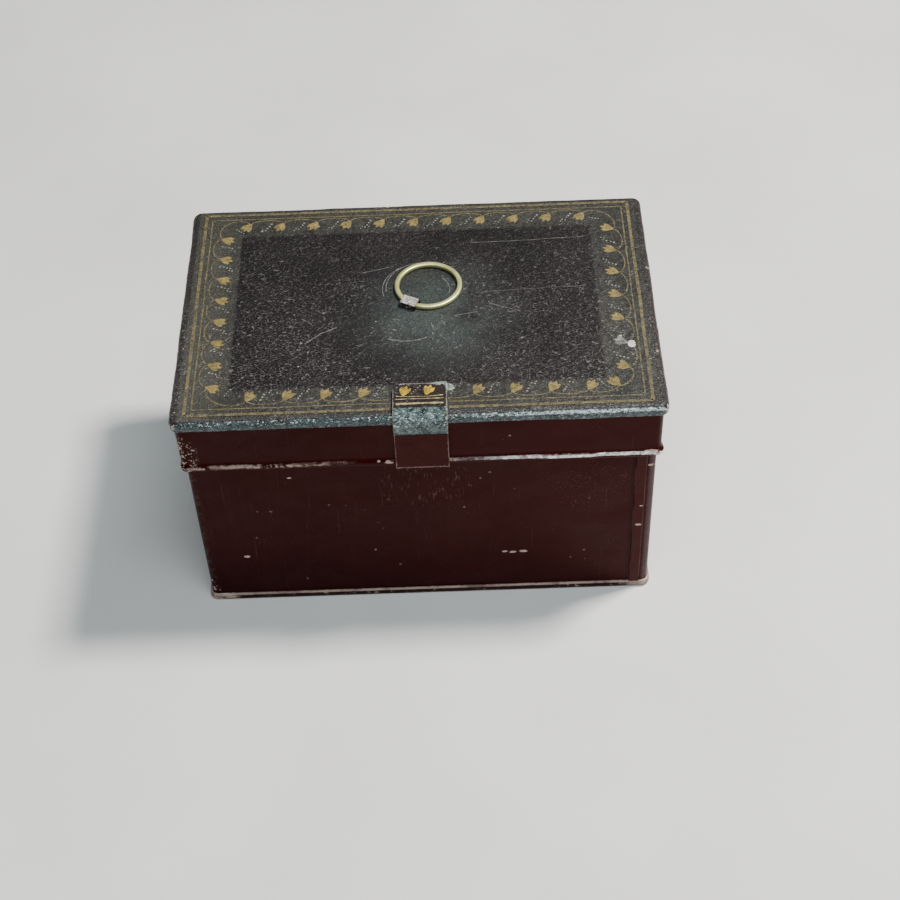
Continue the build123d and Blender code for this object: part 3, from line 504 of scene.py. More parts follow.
def finish_side(s, colour, marks, bare, shine=None):
    """Bare tin over the varnish, the brightest of it where shine says."""
    tin = s.mix(s.noise(0.8, 4.0), (0.52, 0.42, 0.37), (0.22, 0.15, 0.125))
    colour = s.mix(bare, colour, tin)
    rough = s.muladd(bare, 0.15, s.muladd(s.noise(0.35, 4.0, 0.6), 0.2, 0.3))
    metallic = s.mul(bare, 0.3)
    if shine is not None:
        glare = s.mix(s.ramp(s.noise(0.8, 5.0, 0.75), 0.42, 0.6), (1.0, 0.98, 0.97), (0.44, 0.41, 0.40))
        colour = s.mix(shine, colour, glare)
        metallic = s.most(metallic, s.mul(shine, 0.35))
        bare = s.most(bare, shine)
    normal = s.bump(s.noise(0.045, 2.0, 0.5), 2.2, 0.45)
    orange_peel = s.noise(0.5, 3.0, 0.6)
    normal = s.bump(s.muladd(s.plus(bare, marks), -0.4, orange_peel), 0.06, 0.7, normal)
    # reflections tinted red: a painted red reflection
    return s.finish(Base_Color=colour, Roughness=rough, Normal=normal, Metallic=metallic,
                    Specular_IOR_Level=0.12, Specular_Tint=(1.0, 0.12, 0.10, 1.0))


def on_front(s, y):
    return s.ramp(y, -36.0, -36.5)


def skirt_paint(name):
    """The lid's skirt: a hem worn to the tin, a chipped front left corner."""
    s = Shader(name)
    x, y, z = s.axes()
    colour, marks, specks = varnish_and_red_reflection(s, x)
    ragged, patchy = torn_noise(s)
    level = s.plus(z, ragged)
    left = s.mul(s.band(level, SKIRT_Z + 0.75, SKIRT_Z + 1.55, 0.2), s.band(x, -57.0, -28.0, 2.5))
    left = s.mul(left, s.ramp(s.noise(0.8, 5.0, 0.75), 0.44, 0.56))
    rest = s.band(level, SKIRT_Z + 0.9, SKIRT_Z + 1.8, 0.2)
    rest = s.mul(rest, s.ramp(s.noise(0.06, 4.0), 0.48, 0.58))
    rest = s.mul(s.mul(rest, patchy), 0.7)
    corner = s.near((-60.0, -39.0, SKIRT_Z + 5.5), (6.0, 5.0, 7.5), 0.7)
    corner = s.mul(corner, s.most(flecks(s, 0.75, 0.22, 1.0), flecks(s, 1.6, 0.2, 5.0)))
    chips = [s.near((-7.9, -40.0, SKIRT_Z + 1.2), (1.1, 3.0, 0.5), 1.6),
             s.near((-10.3, -40.0, SKIRT_Z + 1.6), (0.5, 3.0, 0.3), 1.2),
             s.near((56.3, -39.5, SKIRT_Z + 1.9), (1.9, 2.0, 0.6), 1.3)]
    # the bright line along the hem, to the right of the strap
    reach = s.muladd(s.band(x, 30.0, 43.0, 1.5), 0.28, z)
    right = s.band(s.muladd(ragged, 0.45, reach), SKIRT_Z + 1.0, SKIRT_Z + 1.8, 0.14)
    right = s.mul(right, s.ramp(x, 10.0, 27.0, 0.12, 1.0))
    torn = s.noise(0.9, 5.0, 0.75, s.mapped(scale=(0.5, 1.0, 1.0)))
    right = s.mul(right, s.ramp(torn, 0.38, 0.5, 0.3, 1.0))
    right = s.mul(s.mul(right, s.ramp(x, 6.0, 7.5)), on_front(s, y))
    return finish_side(s, colour, marks, s.most(specks, left, rest, corner, *chips), right)


def body_paint(name):
    """The case's walls: chips, scuffs under the strap and the lap seam at the right."""
    s = Shader(name)
    x, y, _ = s.axes()
    front = on_front(s, y)
    colour, marks, specks = varnish_and_red_reflection(s, x)
    rubbed = s.near((0.5, -38.0, 43.0), (15.0, 3.0, 9.0), 0.8)
    scuff = s.mapped(scale=(1.6, 1.0, 0.35), rotation=(0, 32, 0), location=(4, 0, 7))
    scuff = s.ramp(s.noise(1.0, 4.0, 0.65, scuff, 0.6), 0.57, 0.66)
    colour = s.mix(s.mul(s.mul(rubbed, scuff), 0.3), colour, (0.15, 0.10, 0.09))
    speckled = s.near((43.0, -38.0, 40.0), (13.0, 3.0, 11.0), 0.6)
    speckled = s.mul(speckled, s.ramp(s.noise(1.5, 4.0, 0.7), 0.60, 0.67))
    colour = s.mix(s.mul(speckled, 0.45), colour, (0.17, 0.09, 0.085))
    chips = []
    for px, pz, size in ((20.2, 15.6, 0.6), (22.3, 15.3, 0.75), (25.0, 15.5, 0.85), (-33.0, 47.0, 0.5),
                         (56.6, 47.3, 0.65), (54.9, 32.5, 0.4), (54.5, 25.2, 0.6), (-47.0, 17.0, 0.8)):
        chips.append(s.near((px, -38.0, pz), (size * 1.4, 2.0, size * 0.7), 0.8))
    low_edge = s.near((BODY_LO[0], -37.5, 6.0), (2.6, 3.0, 6.0), 0.8)
    chips.append(s.mul(low_edge, flecks(s, 0.8, 0.2, 3.0)))
    edge_dust = s.mul(s.ramp(s.absolute(x), BODY_HI[0] - 2.6, BODY_HI[0] - 0.6), front)
    edge_dust = s.mul(edge_dust, s.ramp(s.noise(0.9, 4.0, 0.7), 0.5, 0.62))
    worn_edge = s.plus(s.band(x, SEAM_LEFT - 0.05, SEAM_LEFT + 0.2, 0.1),
                       s.band(x, SEAM_RIGHT - 0.2, SEAM_RIGHT, 0.1))
    broken = s.noise(0.5, 4.0, 0.7, s.mapped(scale=(1, 1, 0.3)))
    worn_edge = s.mul(s.mul(worn_edge, front), s.ramp(broken, 0.4, 0.6))
    # in turn: dust at the ends, the seam with a painted highlight on its raised strip, the painted shadow in
    # its groove, the painted gleam on the rounded corner, the seam's edges
    for mask, amount, tint in (
        (edge_dust, 0.35, (0.10, 0.085, 0.085)),
        (s.mul(s.band(x, SEAM_LEFT, SEAM_RIGHT, 0.15), front), 0.35, (0.045, 0.012, 0.010)),
        (s.mul(s.band(x, SEAM_LEFT - 0.9, SEAM_LEFT, 0.2), front), 0.7, (0.004, 0.0008, 0.0008)),
        (s.mul(s.band(x, BODY_HI[0] - 1.6, BODY_HI[0] - 0.3, 0.4), front), 0.6, (0.085, 0.060, 0.066)),
        (worn_edge, 0.5, (0.13, 0.07, 0.065)),
    ):
        colour = s.mix(s.mul(mask, amount), colour, tint)
    return finish_side(s, colour, marks, s.most(specks, *chips))


def bottom_paint(name):
    """The bottom: blacker varnish, its bead rubbed along the top and at the corners."""
    s = Shader(name)
    x, _, z = s.axes()
    colour, marks, specks = varnish_and_red_reflection(s, x)
    ragged, patchy = torn_noise(s)
    colour = s.mix(0.6, colour, (0.010, 0.0065, 0.006))
    rub = s.band(s.muladd(ragged, 0.3, z), 1.75, 2.1, 0.12)
    rub = s.mul(rub, s.ramp(s.noise(0.10, 4.0, 0.7), 0.36, 0.5, 0.3, 0.75))
    bits = s.ramp(s.noise(0.7, 5.0, 0.75), 0.57, 0.64)
    bits = s.mul(bits, s.ramp(s.noise(0.09, 3.0), 0.42, 0.6, 0.25, 1.0))
    right_end = s.mul(s.near((57.5, -38.0, 1.5), (7.0, 3.0, 1.6), 0.8), s.ramp(x, 50, 58, 0.3, 0.8))
    left_end = s.mul(s.near((-57.0, -38.0, 1.5), (7.0, 4.0, 2.0), 0.8), patchy)
    return finish_side(s, colour, marks, s.most(specks, rub, bits, right_end, left_end))


def paint_film(name, light, dark, worn_to, wear, rough=0.45):
    """Thin hand-laid colour over the varnish, rubbed through in places."""
    s = Shader(name)
    height, ridges = leather(s)
    colour = s.mix(s.noise(0.5, 3.0), light, dark)
    rubbed = s.ramp(s.noise(0.95, 5.0, 0.75), 0.5 - wear, 0.5 + wear * 0.4 + 0.08, 1.0, 0.0)
    rubbed = s.most(rubbed, s.mul(ridges, 0.35))
    colour = s.mix(s.mul(rubbed, 0.8), colour, worn_to)
    normal = s.bump(height, 0.12, 0.8)
    return s.finish(Base_Color=colour, Roughness=s.muladd(ridges, -0.1, rough), Normal=normal,
                    Specular_IOR_Level=0.35)


def metal(name, light, dark, rough=0.32, stain=(0.05, 0.04, 0.03), stain_amount=0.35,
          brushed=(1, 1, 1), brush_depth=0.02, metallic=1.0):
    """Bare metal with brushed or turned marks, tarnish clouds and pits."""
    s = Shader(name)
    clouds = s.noise(0.18, 5.0, 0.65)
    colour = s.mix(s.ramp(clouds, 0.3, 0.7), dark, light)
    marks = s.noise(2.0, 4.0, 0.6, s.mapped(scale=brushed))
    colour = s.mix(s.ramp(marks, 0.35, 0.75, 0.0, 0.35), colour, dark)
    spots = s.ramp(s.noise(0.6, 5.0, 0.75), 0.55, 0.72)
    spots = s.mul(spots, stain_amount)
    colour = s.mix(spots, colour, stain)
    roughness = s.muladd(marks, 0.22, rough - 0.1)
    roughness = s.muladd(spots, 0.3, roughness)
    pits = s.muladd(s.noise(1.4, 4.0, 0.7), 0.6, s.mul(marks, 0.5))
    normal = s.bump(pits, brush_depth, 0.8)
    return s.finish(Base_Color=colour, Roughness=roughness, Normal=normal, Metallic=metallic)


def crumpled_tin(name):
    """Dull tin: whitish and creased where it faces up, darker where it faces sideways."""
    s = Shader(name)
    creases = s.noise(1.3, 4.0, 0.65, s.mapped(scale=(1.0, 2.2, 1.0), rotation=(0, 0, 20)), 0.8)
    top = s.mix(s.ramp(creases, 0.44, 0.56), (0.12, 0.095, 0.08), (0.47, 0.43, 0.39))
    sideways_dark = s.mix(s.ramp(s.noise(1.8, 4.0, 0.7), 0.5, 0.7), (0.020, 0.010, 0.008), (0.12, 0.085, 0.07))
    facing = s.axes(s.add("ShaderNodeNewGeometry").outputs["Normal"])[2]
    # lighter where the surface faces up, darker where it faces sideways
    colour = s.mix(s.ramp(s.muladd(creases, 0.5, facing), 0.55, 0.95), sideways_dark, top)
    shiny = s.ramp(s.noise(1.5, 4.0, 0.7, s.mapped(location=(9, 2, 5))), 0.58, 0.66)
    colour = s.mix(shiny, colour, (0.72, 0.69, 0.62))
    return s.finish(Base_Color=colour, Roughness=s.muladd(creases, 0.3, 0.3),
                    Metallic=s.mul(shiny, 0.5), Normal=s.bump(creases, 0.5, 0.9))


PANEL_DARK, PANEL_LIGHT = (0.0030, 0.0014, 0.0018), (0.0075, 0.0048, 0.0055)
BORDER_DARK, BORDER_LIGHT = (0.011, 0.0105, 0.0085), (0.026, 0.025, 0.020)
BORDER_FADED_AND_SHEEN = (0.046, 0.044, 0.032)
RIM_DARK = (0.009, 0.006, 0.0065)
TEAL_REFLECTION_DARK, TEAL_REFLECTION_LIGHT, STRAP_TEAL_REFLECTION = (0.007, 0.014, 0.016), (0.044, 0.075, 0.080), (0.13, 0.20, 0.19)
SHEEN = (0.036, 0.048, 0.045)
RIDGE_HIGHLIGHT = (0.21, 0.195, 0.188)
DARK_VARNISH_AND_RED_REFLECTION, LIGHT_VARNISH_AND_RED_REFLECTION = (0.0090, 0.0, 0.0), (0.0140, 0.0006, 0.0004)
WORN_VARNISH_AND_RED_REFLECTION = (0.024, 0.0040, 0.0034)

LID = lid_paint("lid_japan_varnish")
STRAP = strap_paint("strap_japan_varnish")
GOLD = paint_film("gilt_leaves", (0.30, 0.225, 0.065), (0.155, 0.115, 0.042), (0.036, 0.028, 0.017), 0.2)
BRIGHT_GOLD = paint_film("gilt_under_strap_varnish", (0.68, 0.45, 0.020), (0.34, 0.22, 0.015),
                         (0.08, 0.05, 0.015), 0.1)
STRAP_LINES = paint_film("gilt_strap_lines", (0.50, 0.42, 0.20), (0.26, 0.20, 0.085),
                         (0.05, 0.035, 0.02), 0.14)
LINE_GOLD = paint_film("gilt_lines", (0.17, 0.135, 0.060), (0.10, 0.085, 0.045),
                       (0.022, 0.019, 0.014), 0.14)
PALE = paint_film("pale_dots", (0.30, 0.30, 0.27), (0.15, 0.15, 0.135), (0.03, 0.03, 0.026), 0.12)
SCRAPE = paint_film("scrape_marks", (0.21, 0.195, 0.185), (0.085, 0.08, 0.078), (0.02, 0.018, 0.018), 0.28)
WHITE = paint_film("white_blob", (0.74, 0.72, 0.66), (0.52, 0.50, 0.45), (0.28, 0.26, 0.22), 0.04)
SKIRT = skirt_paint("skirt_varnish_and_red_reflection")
BODY = body_paint("body_varnish_and_red_reflection")
BASE = bottom_paint("bottom_varnish")
RING_BRASS = metal("ring_old_brass", (0.80, 0.83, 0.40), (0.50, 0.50, 0.19), 0.38,
                   (0.16, 0.13, 0.04), 0.3, (1, 1, 1), 0.012, 0.75)
CLIP_TIN = crumpled_tin("clip_dull_tin")
SOLDER = metal("solder_smear", (0.26, 0.29, 0.25), (0.10, 0.115, 0.10), 0.5, (0.04, 0.035, 0.03), 0.6,
               (1, 1, 1), 0.08, 0.3)
BRASS = metal("movement_brass", (0.80, 0.58, 0.26), (0.52, 0.35, 0.13), 0.28, (0.20, 0.11, 0.04), 0.4,
              (0.12, 2.0, 2.0), 0.010)
TURNED_BRASS = metal("turned_brass", (0.82, 0.61, 0.28), (0.55, 0.38, 0.15), 0.24, (0.22, 0.12, 0.05),
                     0.3, (2.5, 0.2, 0.2), 0.008)
KEY_BRASS = metal("key_old_brass", (0.62, 0.50, 0.22), (0.33, 0.25, 0.10), 0.34, (0.10, 0.07, 0.03), 0.5,
                  (1, 1, 1), 0.02)
STEEL = metal("turned_steel", (0.55, 0.55, 0.55), (0.30, 0.30, 0.31), 0.3, (0.12, 0.07, 0.04), 0.3,
              (2.5, 0.3, 0.3), 0.008)
COMB_STEEL = metal("comb_ground_steel", (0.66, 0.66, 0.66), (0.42, 0.42, 0.44), 0.26, (0.16, 0.10, 0.06),
                   0.22, (3.0, 0.12, 1.0), 0.008)
BLUED = metal("blued_steel", (0.06, 0.10, 0.28), (0.03, 0.04, 0.12), 0.25, (0.10, 0.06, 0.09), 0.4,
              (1, 1, 1), 0.006)
IRON = metal("comb_base_iron", (0.16, 0.15, 0.14), (0.07, 0.065, 0.06), 0.55, (0.10, 0.05, 0.03), 0.4,
             (1, 1, 1), 0.06, 0.8)

# nodes that keep their CAD shape, by look
for look, names in (
    (BODY, "body_wrap hinge_leaf_case"),
    (SKIRT, "hinge_leaf_lid"),
    (BASE, "bottom_plate"),
    (BRASS, "bedplate barrel_cock cylinder_cocks governor_cock fly start_lever"),
    (TURNED_BRASS, "bed_pillars barrel_drum barrel_cap cylinder_tube cylinder_caps great_wheel worm_wheel"),
    (KEY_BRASS, "winding_key"),
    (STEEL, "hinge_pin case_screws bed_screws barrel_arbor ratchet_wheel click cylinder_arbor"
            " cylinder_pinion governor_arbor governor_pinion worm_spindle"),
    (COMB_STEEL, "comb cylinder_pins"),
    (BLUED, "click_screw click_spring comb_screws lever_screw mainspring"),
    (IRON, "comb_base"),
):
    for node_name in names.split():
        for material_slot in NODES[node_name].material_slots:
            material_slot.material = look


# --------------------------------------------------------------- lid shell
def build_lid_top():
    """The lid's sheet: a rolled rim, slightly dented, closed above and below by smooth grids."""
    profile = [(4.0, LID_Z), (3.0, LID_Z), (2.3, LID_Z - 0.01), (1.9, LID_Z - 0.03)]
    for step in range(1, 8):
        angle = math.radians(90 * step / 7)
        profile.append((1.6 - 1.6 * math.sin(angle), LID_Z - 1.63 + 1.6 * math.cos(angle)))
    profile += [(0.02, LID_Z - 2.1), (0.04, LID_Z - 2.5), (0.12, LID_Z - 2.8), (0.35, LID_Z - 2.98),
                (0.7, LID_Z - 3.0), (0.8, LID_Z - 2.9), (0.8, LID_Z - 1.2), (1.0, LID_Z - 0.55),
                (1.5, LID_Z - 0.4), (4.0, LID_Z - 0.4)]
    rings = []
    for inset, z in profile:
        ring = []
        for x, y, zz in shell_ring(LID_W, LID_D, LID_R, inset, z):
            rim = max(0.0, 1.0 - inset / 4.0)
            dent = 0.2 + 0.2 * wobble(x, y, zz, 0.11, 3) + 0.09 * wobble(x, y, zz, 0.45, 8)
            lift = 0.14 * wobble(x, y, zz, 0.07, 21) + 0.05 * wobble(x, y, zz, 0.3, 5)
            push = 1.0 - max(dent, 0.0) * rim / HALF_LENGTH
            ring.append((x * push, y * push, zz + (lift - 0.1) * rim))
        rings.append(ring)
    verts, faces = loft(rings, closed=False)
    faces = [f[::-1] for f in faces]
    patch(verts, faces, 0, SHEET_NX, SHEET_NY, flip=False)
    patch(verts, faces, (len(rings) - 1) * len(rings[0]), SHEET_NX, SHEET_NY, flip=True)
    obj = make_object("lid_top_sheet", verts, faces, "lid", LID, sharp=40)
    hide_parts("lid_top")


def build_skirt():
    """The lid's skirt: wavy sides, a hem that stands out and one torn corner."""
    top = SKIRT_HI[2]
    profile = [(0.0, top - i * (top - SKIRT_Z - 1.8) / 12) for i in range(13)]
    profile += [(-0.12, SKIRT_Z + 1.66), (-0.27, SKIRT_Z + 1.55), (-0.34, SKIRT_Z + 1.3),
                (-0.35, SKIRT_Z + 0.9), (-0.35, SKIRT_Z + 0.5), (-0.28, SKIRT_Z + 0.18),
                (-0.1, SKIRT_Z + 0.02), (0.2, SKIRT_Z), (0.4, SKIRT_Z + 0.15)]
    profile += [(0.4, SKIRT_Z + 1.0 + i * (top - SKIRT_Z - 1.0) / 6) for i in range(7)]
    rings = []
    for inset, z in profile:
        ring = []
        for x, y, zz in shell_ring(SKIRT_W, SKIRT_D, SKIRT_R, inset, z):
            low = max(0.0, 1.0 - (zz - SKIRT_Z) / 5.0)
            side = 0.12 * wobble(x, y, zz, 0.05, 14) * min(1.0, (top - zz) / 4.0)
            hem = 0.12 * wobble(x, y, zz, 0.35, 2) * low
            edge = 0.22 * wobble(x, y, 0, 0.12, 31) * low + 0.1 * wobble(x, y, 0, 0.5, 7) * low
            # a torn and bent corner at the right end of the front
            fold = math.exp(-((x - 58.5) ** 2 + (y + 38.5) ** 2) / 5.0)
            fold *= max(0.0, 1.0 - (zz - SKIRT_Z) / 3.0)
            push = 1.0 + (side + hem) / HALF_LENGTH
            ring.append((x * push + 0.7 * fold, y * push - 0.45 * fold, zz + edge + 0.9 * fold))
        rings.append(ring)
    verts, faces = loft(rings, closed=True)
    faces = [f[::-1] for f in faces]
    obj = make_object("lid_skirt_sheet", verts, faces, "lid", SKIRT, sharp=50)
    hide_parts("lid_skirt")


def strap_path():
    """Side view of the strap as (y, z): its rear end on the lid, over the edge, down the skirt."""
    front, top, rear = STRAP_LO[1], STRAP_HI[2], STRAP_HI[1]
    path = [(rear - t, top) for t in (0.0, 0.15, 0.5, 1.0, 1.6, 2.4, 3.6, 5.0, 6.4, 7.6)]
    for step in range(9):
        angle = math.radians(90 * step / 8)
        path.append((front + 2.7 - 2.7 * math.sin(angle), top - 2.7 + 2.7 * math.cos(angle)))
    path += [(front, LID_Z - 2.4), (front + 0.02, LID_Z - 3.0), (front + 0.12, LID_Z - 3.6),
             (front + 0.3, LID_Z - 4.2), (front + 0.42, LID_Z - 4.8), (front + 0.45, LID_Z - 6.0)]
    path += [(front + 0.45, LID_Z - 6.0 - 1.15 * i) for i in range(1, 11)]
    path[-1] = (front + 0.45, SKIRT_Z + 0.02)
    return path


def path_normals(path):
    """Unit normals along a side view."""
    normals = []
    for i in range(len(path)):
        a, b = path[max(i - 1, 0)], path[min(i + 1, len(path) - 1)]
        dy, dz = b[0] - a[0], b[1] - a[1]
        size = math.hypot(dy, dz)
        normals.append((dz / size, -dy / size))
    return normals


def strap_half_width(y, z):
    """Half width of the strap; its two rear corners are rounded."""
    corner = 2.4
    half = (STRAP_HI[0] - STRAP_LO[0]) / 2
    back = STRAP_HI[1] - y
    if z <= STRAP_HI[2] - 0.5 or back >= corner:
        return half
    return half - (corner - math.sqrt(max(corner ** 2 - (corner - back) ** 2, 0.0)))


def build_strap():
    """Folded tin strap: over the lid's front edge and down the skirt."""
    path = strap_path()
    normals = path_normals(path)
    columns = [-1.0, -0.985, -0.96, -0.93, -0.9, -0.87] + [i / 8 for i in range(-6, 7)]
    columns += [0.87, 0.9, 0.93, 0.96, 0.985, 1.0]
    verts, faces = [], []
    thick = 0.92
    for (y, z), (ny, nz) in zip(path, normals):
        wide = strap_half_width(y, z)
        for layer in (0, 1):
            for c in columns:
                x = STRAP_MID + c * wide + 0.06 * wobble(c * 3, y, z, 0.4, 9)
                # rolled side edges stand a little above the sunk middle
                ridge = 0.07 * math.exp(-((abs(c) - 0.93) / 0.03) ** 2) - 0.06 * (abs(c) < 0.88)
                ridge += 0.05 * wobble(x, y, z, 0.3, 17) - (0.12 if abs(c) == 1.0 else 0.0)
                depth = thick if layer else -min(ridge, 0.0) * 0.9
                sink = depth if layer else (depth + 0.02 - max(ridge, 0.0) * 0.2)
                verts.append((x, y - ny * sink, z - nz * sink))
    cols = len(columns)
    row = 2 * cols
    for i in range(len(path) - 1):
        a, b = i * row, (i + 1) * row
        for c in range(cols - 1):
            faces.append((a + c, b + c, b + c + 1, a + c + 1))
            faces.append((a + cols + c, a + cols + c + 1, b + cols + c + 1, b + cols + c))
        faces.append((a, a + cols, b + cols, b))
        faces.append((a + cols - 1, b + cols - 1, b + row - 1, a + row - 1))
    last = (len(path) - 1) * row
    for c in range(cols - 1):
        faces.append((c, c + 1, cols + c + 1, cols + c))
        faces.append((last + c, last + cols + c, last + cols + c + 1, last + c + 1))
    obj = make_object("front_strap_sheet", verts, faces, "lid", STRAP, sharp=50)
    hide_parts("front_strap")


def build_solder():
    """Greenish smear of solder along the strap's rear edge, with a lump at its corner."""
    nx, ny = 60, 22
    x0, x1, y0, y1 = 1.6, 9.2, -32.0, -28.9
    verts, faces = [], []
    for j in range(ny + 1):
        for i in range(nx + 1):
            x, y = x0 + (x1 - x0) * i / nx, y0 + (y1 - y0) * j / ny
            t = min(max((x - 2.2) / 4.6, 0.0), 1.0)
            middle = -29.35 - 0.9 * max(0.0, (x - 6.0) / 2.6) ** 1.4
            reach = (0.22 + 0.35 * t) * (1.0 + 0.35 * wobble(x, 0, 0, 0.7, 3))
            band = math.exp(-((y - middle) / reach) ** 2) * min(t * 3.0, 1.0)
            lump = 0.9 * math.exp(-((x - 7.6) ** 2 + (y + 30.4) ** 2) / 0.55)
            height = (0.75 * band * (1.0 if x < 8.2 else max(0.0, (8.9 - x) / 0.7)) + lump)
            height *= 0.85 + 0.3 * wobble(x, y, 0, 1.3, 11)
            over = x < STRAP_HI[0] and y < STRAP_HI[1]
            base = STRAP_HI[2] - 0.12 if over else LID_Z - 0.15
            verts.append((x, y, min(base + 0.9 * max(height, 0.0), RING_HI[2])))
    for j in range(ny):
        for i in range(nx):
            a = j * (nx + 1) + i
            faces.append((a, a + 1, a + nx + 2, a + nx + 1))
    obj = make_object("strap_solder_smear", verts, faces, "lid", SOLDER)
    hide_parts("strap_solder")


# ------------------------------------------------------- ring and its clip
def build_ring():
    """Ring of flattened brass wire, a little worn."""
    wire = (RING_HI[2] - RING_LO[2]) / 2
    mean = (RING_HI[0] - RING_LO[0]) / 2 - wire
    around, section = 144, 20
    rings = []
    for i in range(around):
        a = math.tau * i / around
        ux, uy = math.cos(a), math.sin(a)
        wear = 1.0 + 0.035 * wobble(ux * 9, uy * 9, 0, 0.25, 4)
        ring = []
        for j in range(section):
            b = math.tau * j / section
            out = math.copysign(abs(math.cos(b)) ** 0.6, math.cos(b))
            up = math.copysign(abs(math.sin(b)) ** 0.6, math.sin(b))
            r = mean + wire * (wear * out * 1.06 - 0.08)
            ring.append((RING_X + ux * r, RING_Y + uy * r, RING_Z + wire * wear * 0.96 * up))
        rings.append(ring)
    verts, faces = loft(rings, closed=True)
    obj = make_object("ring_wire", verts, faces, "ring", RING_BRASS)
    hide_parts("ring_handle")


def clip_outline():
    """Cross section of the channel as (sideways, up): its outer side, then its inner side."""
    outer_h = CLIP_HI[2] - LID_Z
    half_out, half_in, thick = 1.51, 1.21, 0.3
    outer = [(-half_out, 0.0), (-half_out, 0.5), (-half_out, 1.0), (-half_out, outer_h - 0.5)]
    for step in range(1, 5):
        t = math.radians(90 * step / 4)
        outer.append((-half_out + 0.5 - 0.5 * math.cos(t), outer_h - 0.5 + 0.5 * math.sin(t)))
    outer += [(-0.5, outer_h), (0.0, outer_h)]
    outer += [(-u, v) for u, v in outer[:-1][::-1]]
    inner = [(half_in, 0.0), (half_in, 0.8), (half_in, outer_h - thick - 0.25),
             (half_in - 0.25, outer_h - thick), (0.0, outer_h - thick)]
    inner += [(-u, v) for u, v in inner[:-1][::-1]]
    return outer, inner


def build_clip():
    """Folded tin channel over the ring, its ends slightly flared and crumpled."""
    centre = Vector(((CLIP_LO[0] + CLIP_HI[0]) / 2, (CLIP_LO[1] + CLIP_HI[1]) / 2, LID_Z))
    angle = math.radians(-28.0)
    along = Vector((math.cos(angle), math.sin(angle), 0))
    across = Vector((-math.sin(angle), math.cos(angle), 0))
    outer_h = CLIP_HI[2] - LID_Z
    outer, inner = clip_outline()
    rings = []
    for i in range(15):
        t = -1.0 + 2.0 * i / 14
        ring = []
        for u, v in outer + inner:
            rough = 0.05 * wobble(t * 4, u * 2, v * 2, 0.9, 6)
            ragged = 0.12 * wobble(u * 3, v * 3, t, 0.8, 12) if abs(t) == 1.0 else 0.0
            p = centre + along * (t * 2.1 + ragged) + across * (u + rough * (abs(u) > 1.3))
            crease = 0.5 * abs(wobble(t * 4.2, u * 1.6, 0, 0.8, 19)) * (v > outer_h - 0.2)
            ring.append((p.x, p.y, LID_Z + max(v - min(crease, 0.24), 0.0)))
        rings.append(ring)
    verts, faces = loft(rings, closed=False)
    # triangles from the outer to the inner side at one end
    for k in range(len(inner) - 1):
        across_from = len(outer) - 1 - round(k * (len(outer) - 1) / (len(inner) - 1))
        faces.append((across_from, len(outer) + k, len(outer) + k + 1))
    obj = make_object("ring_clip_sheet", verts, faces, "lid", CLIP_TIN, sharp=35)
    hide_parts("ring_clip")


# --------------------------------------------------------------- gilt work
def on_lid(x, y):
    """Height of the painted surface, on the lid or on the strap."""
    if abs(x - STRAP_MID) < 6.4 and y < STRAP_HI[1] - 0.2:
        return STRAP_HI[2] - 0.01
    return LID_Z + 0.03


class Film:
    """Thin painted shapes that share one material."""

    def __init__(self):
        self.verts = []
        self.faces = []
        self.step = 0

    def stripe(self, points, width, fade=0.25):
        """A hand-drawn line of changing width along points."""
        start = len(self.verts)
        n = len(points)
        for i, (x, y) in enumerate(points):
            ax, ay = points[max(i - 1, 0)]
            bx, by = points[min(i + 1, n - 1)]
            dx, dy = bx - ax, by - ay
            size = math.hypot(dx, dy) or 1.0
            w = width * 0.5 * (1.0 + fade * wobble(x, y, 0, 0.8, 33))
            z = on_lid(x, y)
            self.verts.append((x - dy / size * w, y + dx / size * w, z))
            self.verts.append((x + dy / size * w, y - dx / size * w, z))
        for i in range(n - 1):
            a = start + 2 * i
            self.faces.append((a, a + 1, a + 3, a + 2))

    def blob(self, points, centre):
        """A filled shape round a centre point, each a hair above the last."""
        start = len(self.verts)
        self.step = (self.step + 1) % 12
        z = on_lid(*centre) + 0.0012 * self.step
        self.verts.append((centre[0], centre[1], z))
        for x, y in points:
            self.verts.append((x, y, z))
        n = len(points)
        for i in range(n):
            self.faces.append((start, start + 1 + i, start + 1 + (i + 1) % n))

    def dot(self, x, y, r):
        ring = []
        for t in range(9):
            a = t * math.tau / 9
            rr = r * (1.0 + 0.2 * wobble(x + math.cos(a), y + math.sin(a), 0, 1.1, 5))
            ring.append((x + rr * math.cos(a), y + rr * math.sin(a)))
        self.blob(ring, (x, y))

    def petal(self, x, y, angle, length, width, base):
        """A lobe that widens from its base to a rounded tip."""
        ca, sa = math.cos(angle), math.sin(angle)
        left, right = [], []
        for i in range(13):
            t = i / 12
            u = length * t
            v = base * (1 - t) + width * math.sin(math.pi * min(t * 1.05, 1.0) ** 1.7) ** 0.8
            v = max(v, 0.0) if t < 1 else 0.0
            left.append((x + u * ca - v * sa, y + u * sa + v * ca))
            right.append((x + u * ca + v * sa, y + u * sa - v * ca))
        middle = (x + 0.6 * length * ca, y + 0.6 * length * sa)
        self.blob(right[:-1] + left[::-1], middle)

    def leaf(self, x, y, angle, size=1.0):
        """Tulip shaped leaf of three lobes; its base is at (x, y)."""
        wild = 0.08 * wobble(x, y, 0, 0.6, 4)
        for turn, length, width in ((-0.40, 3.35, 0.50), (0.40, 3.3, 0.50), (0.0, 3.7, 0.46)):
            self.petal(x, y, angle + turn + wild, length * size, width * size, 0.30 * size)

    def build(self, name, material):
        obj = make_object(name, self.verts, self.faces, "lid", material, smooth=False)
        solid = obj.modifiers.new("paint_film", "SOLIDIFY")
        solid.thickness = 0.015 * MM
        solid.offset = -1.0


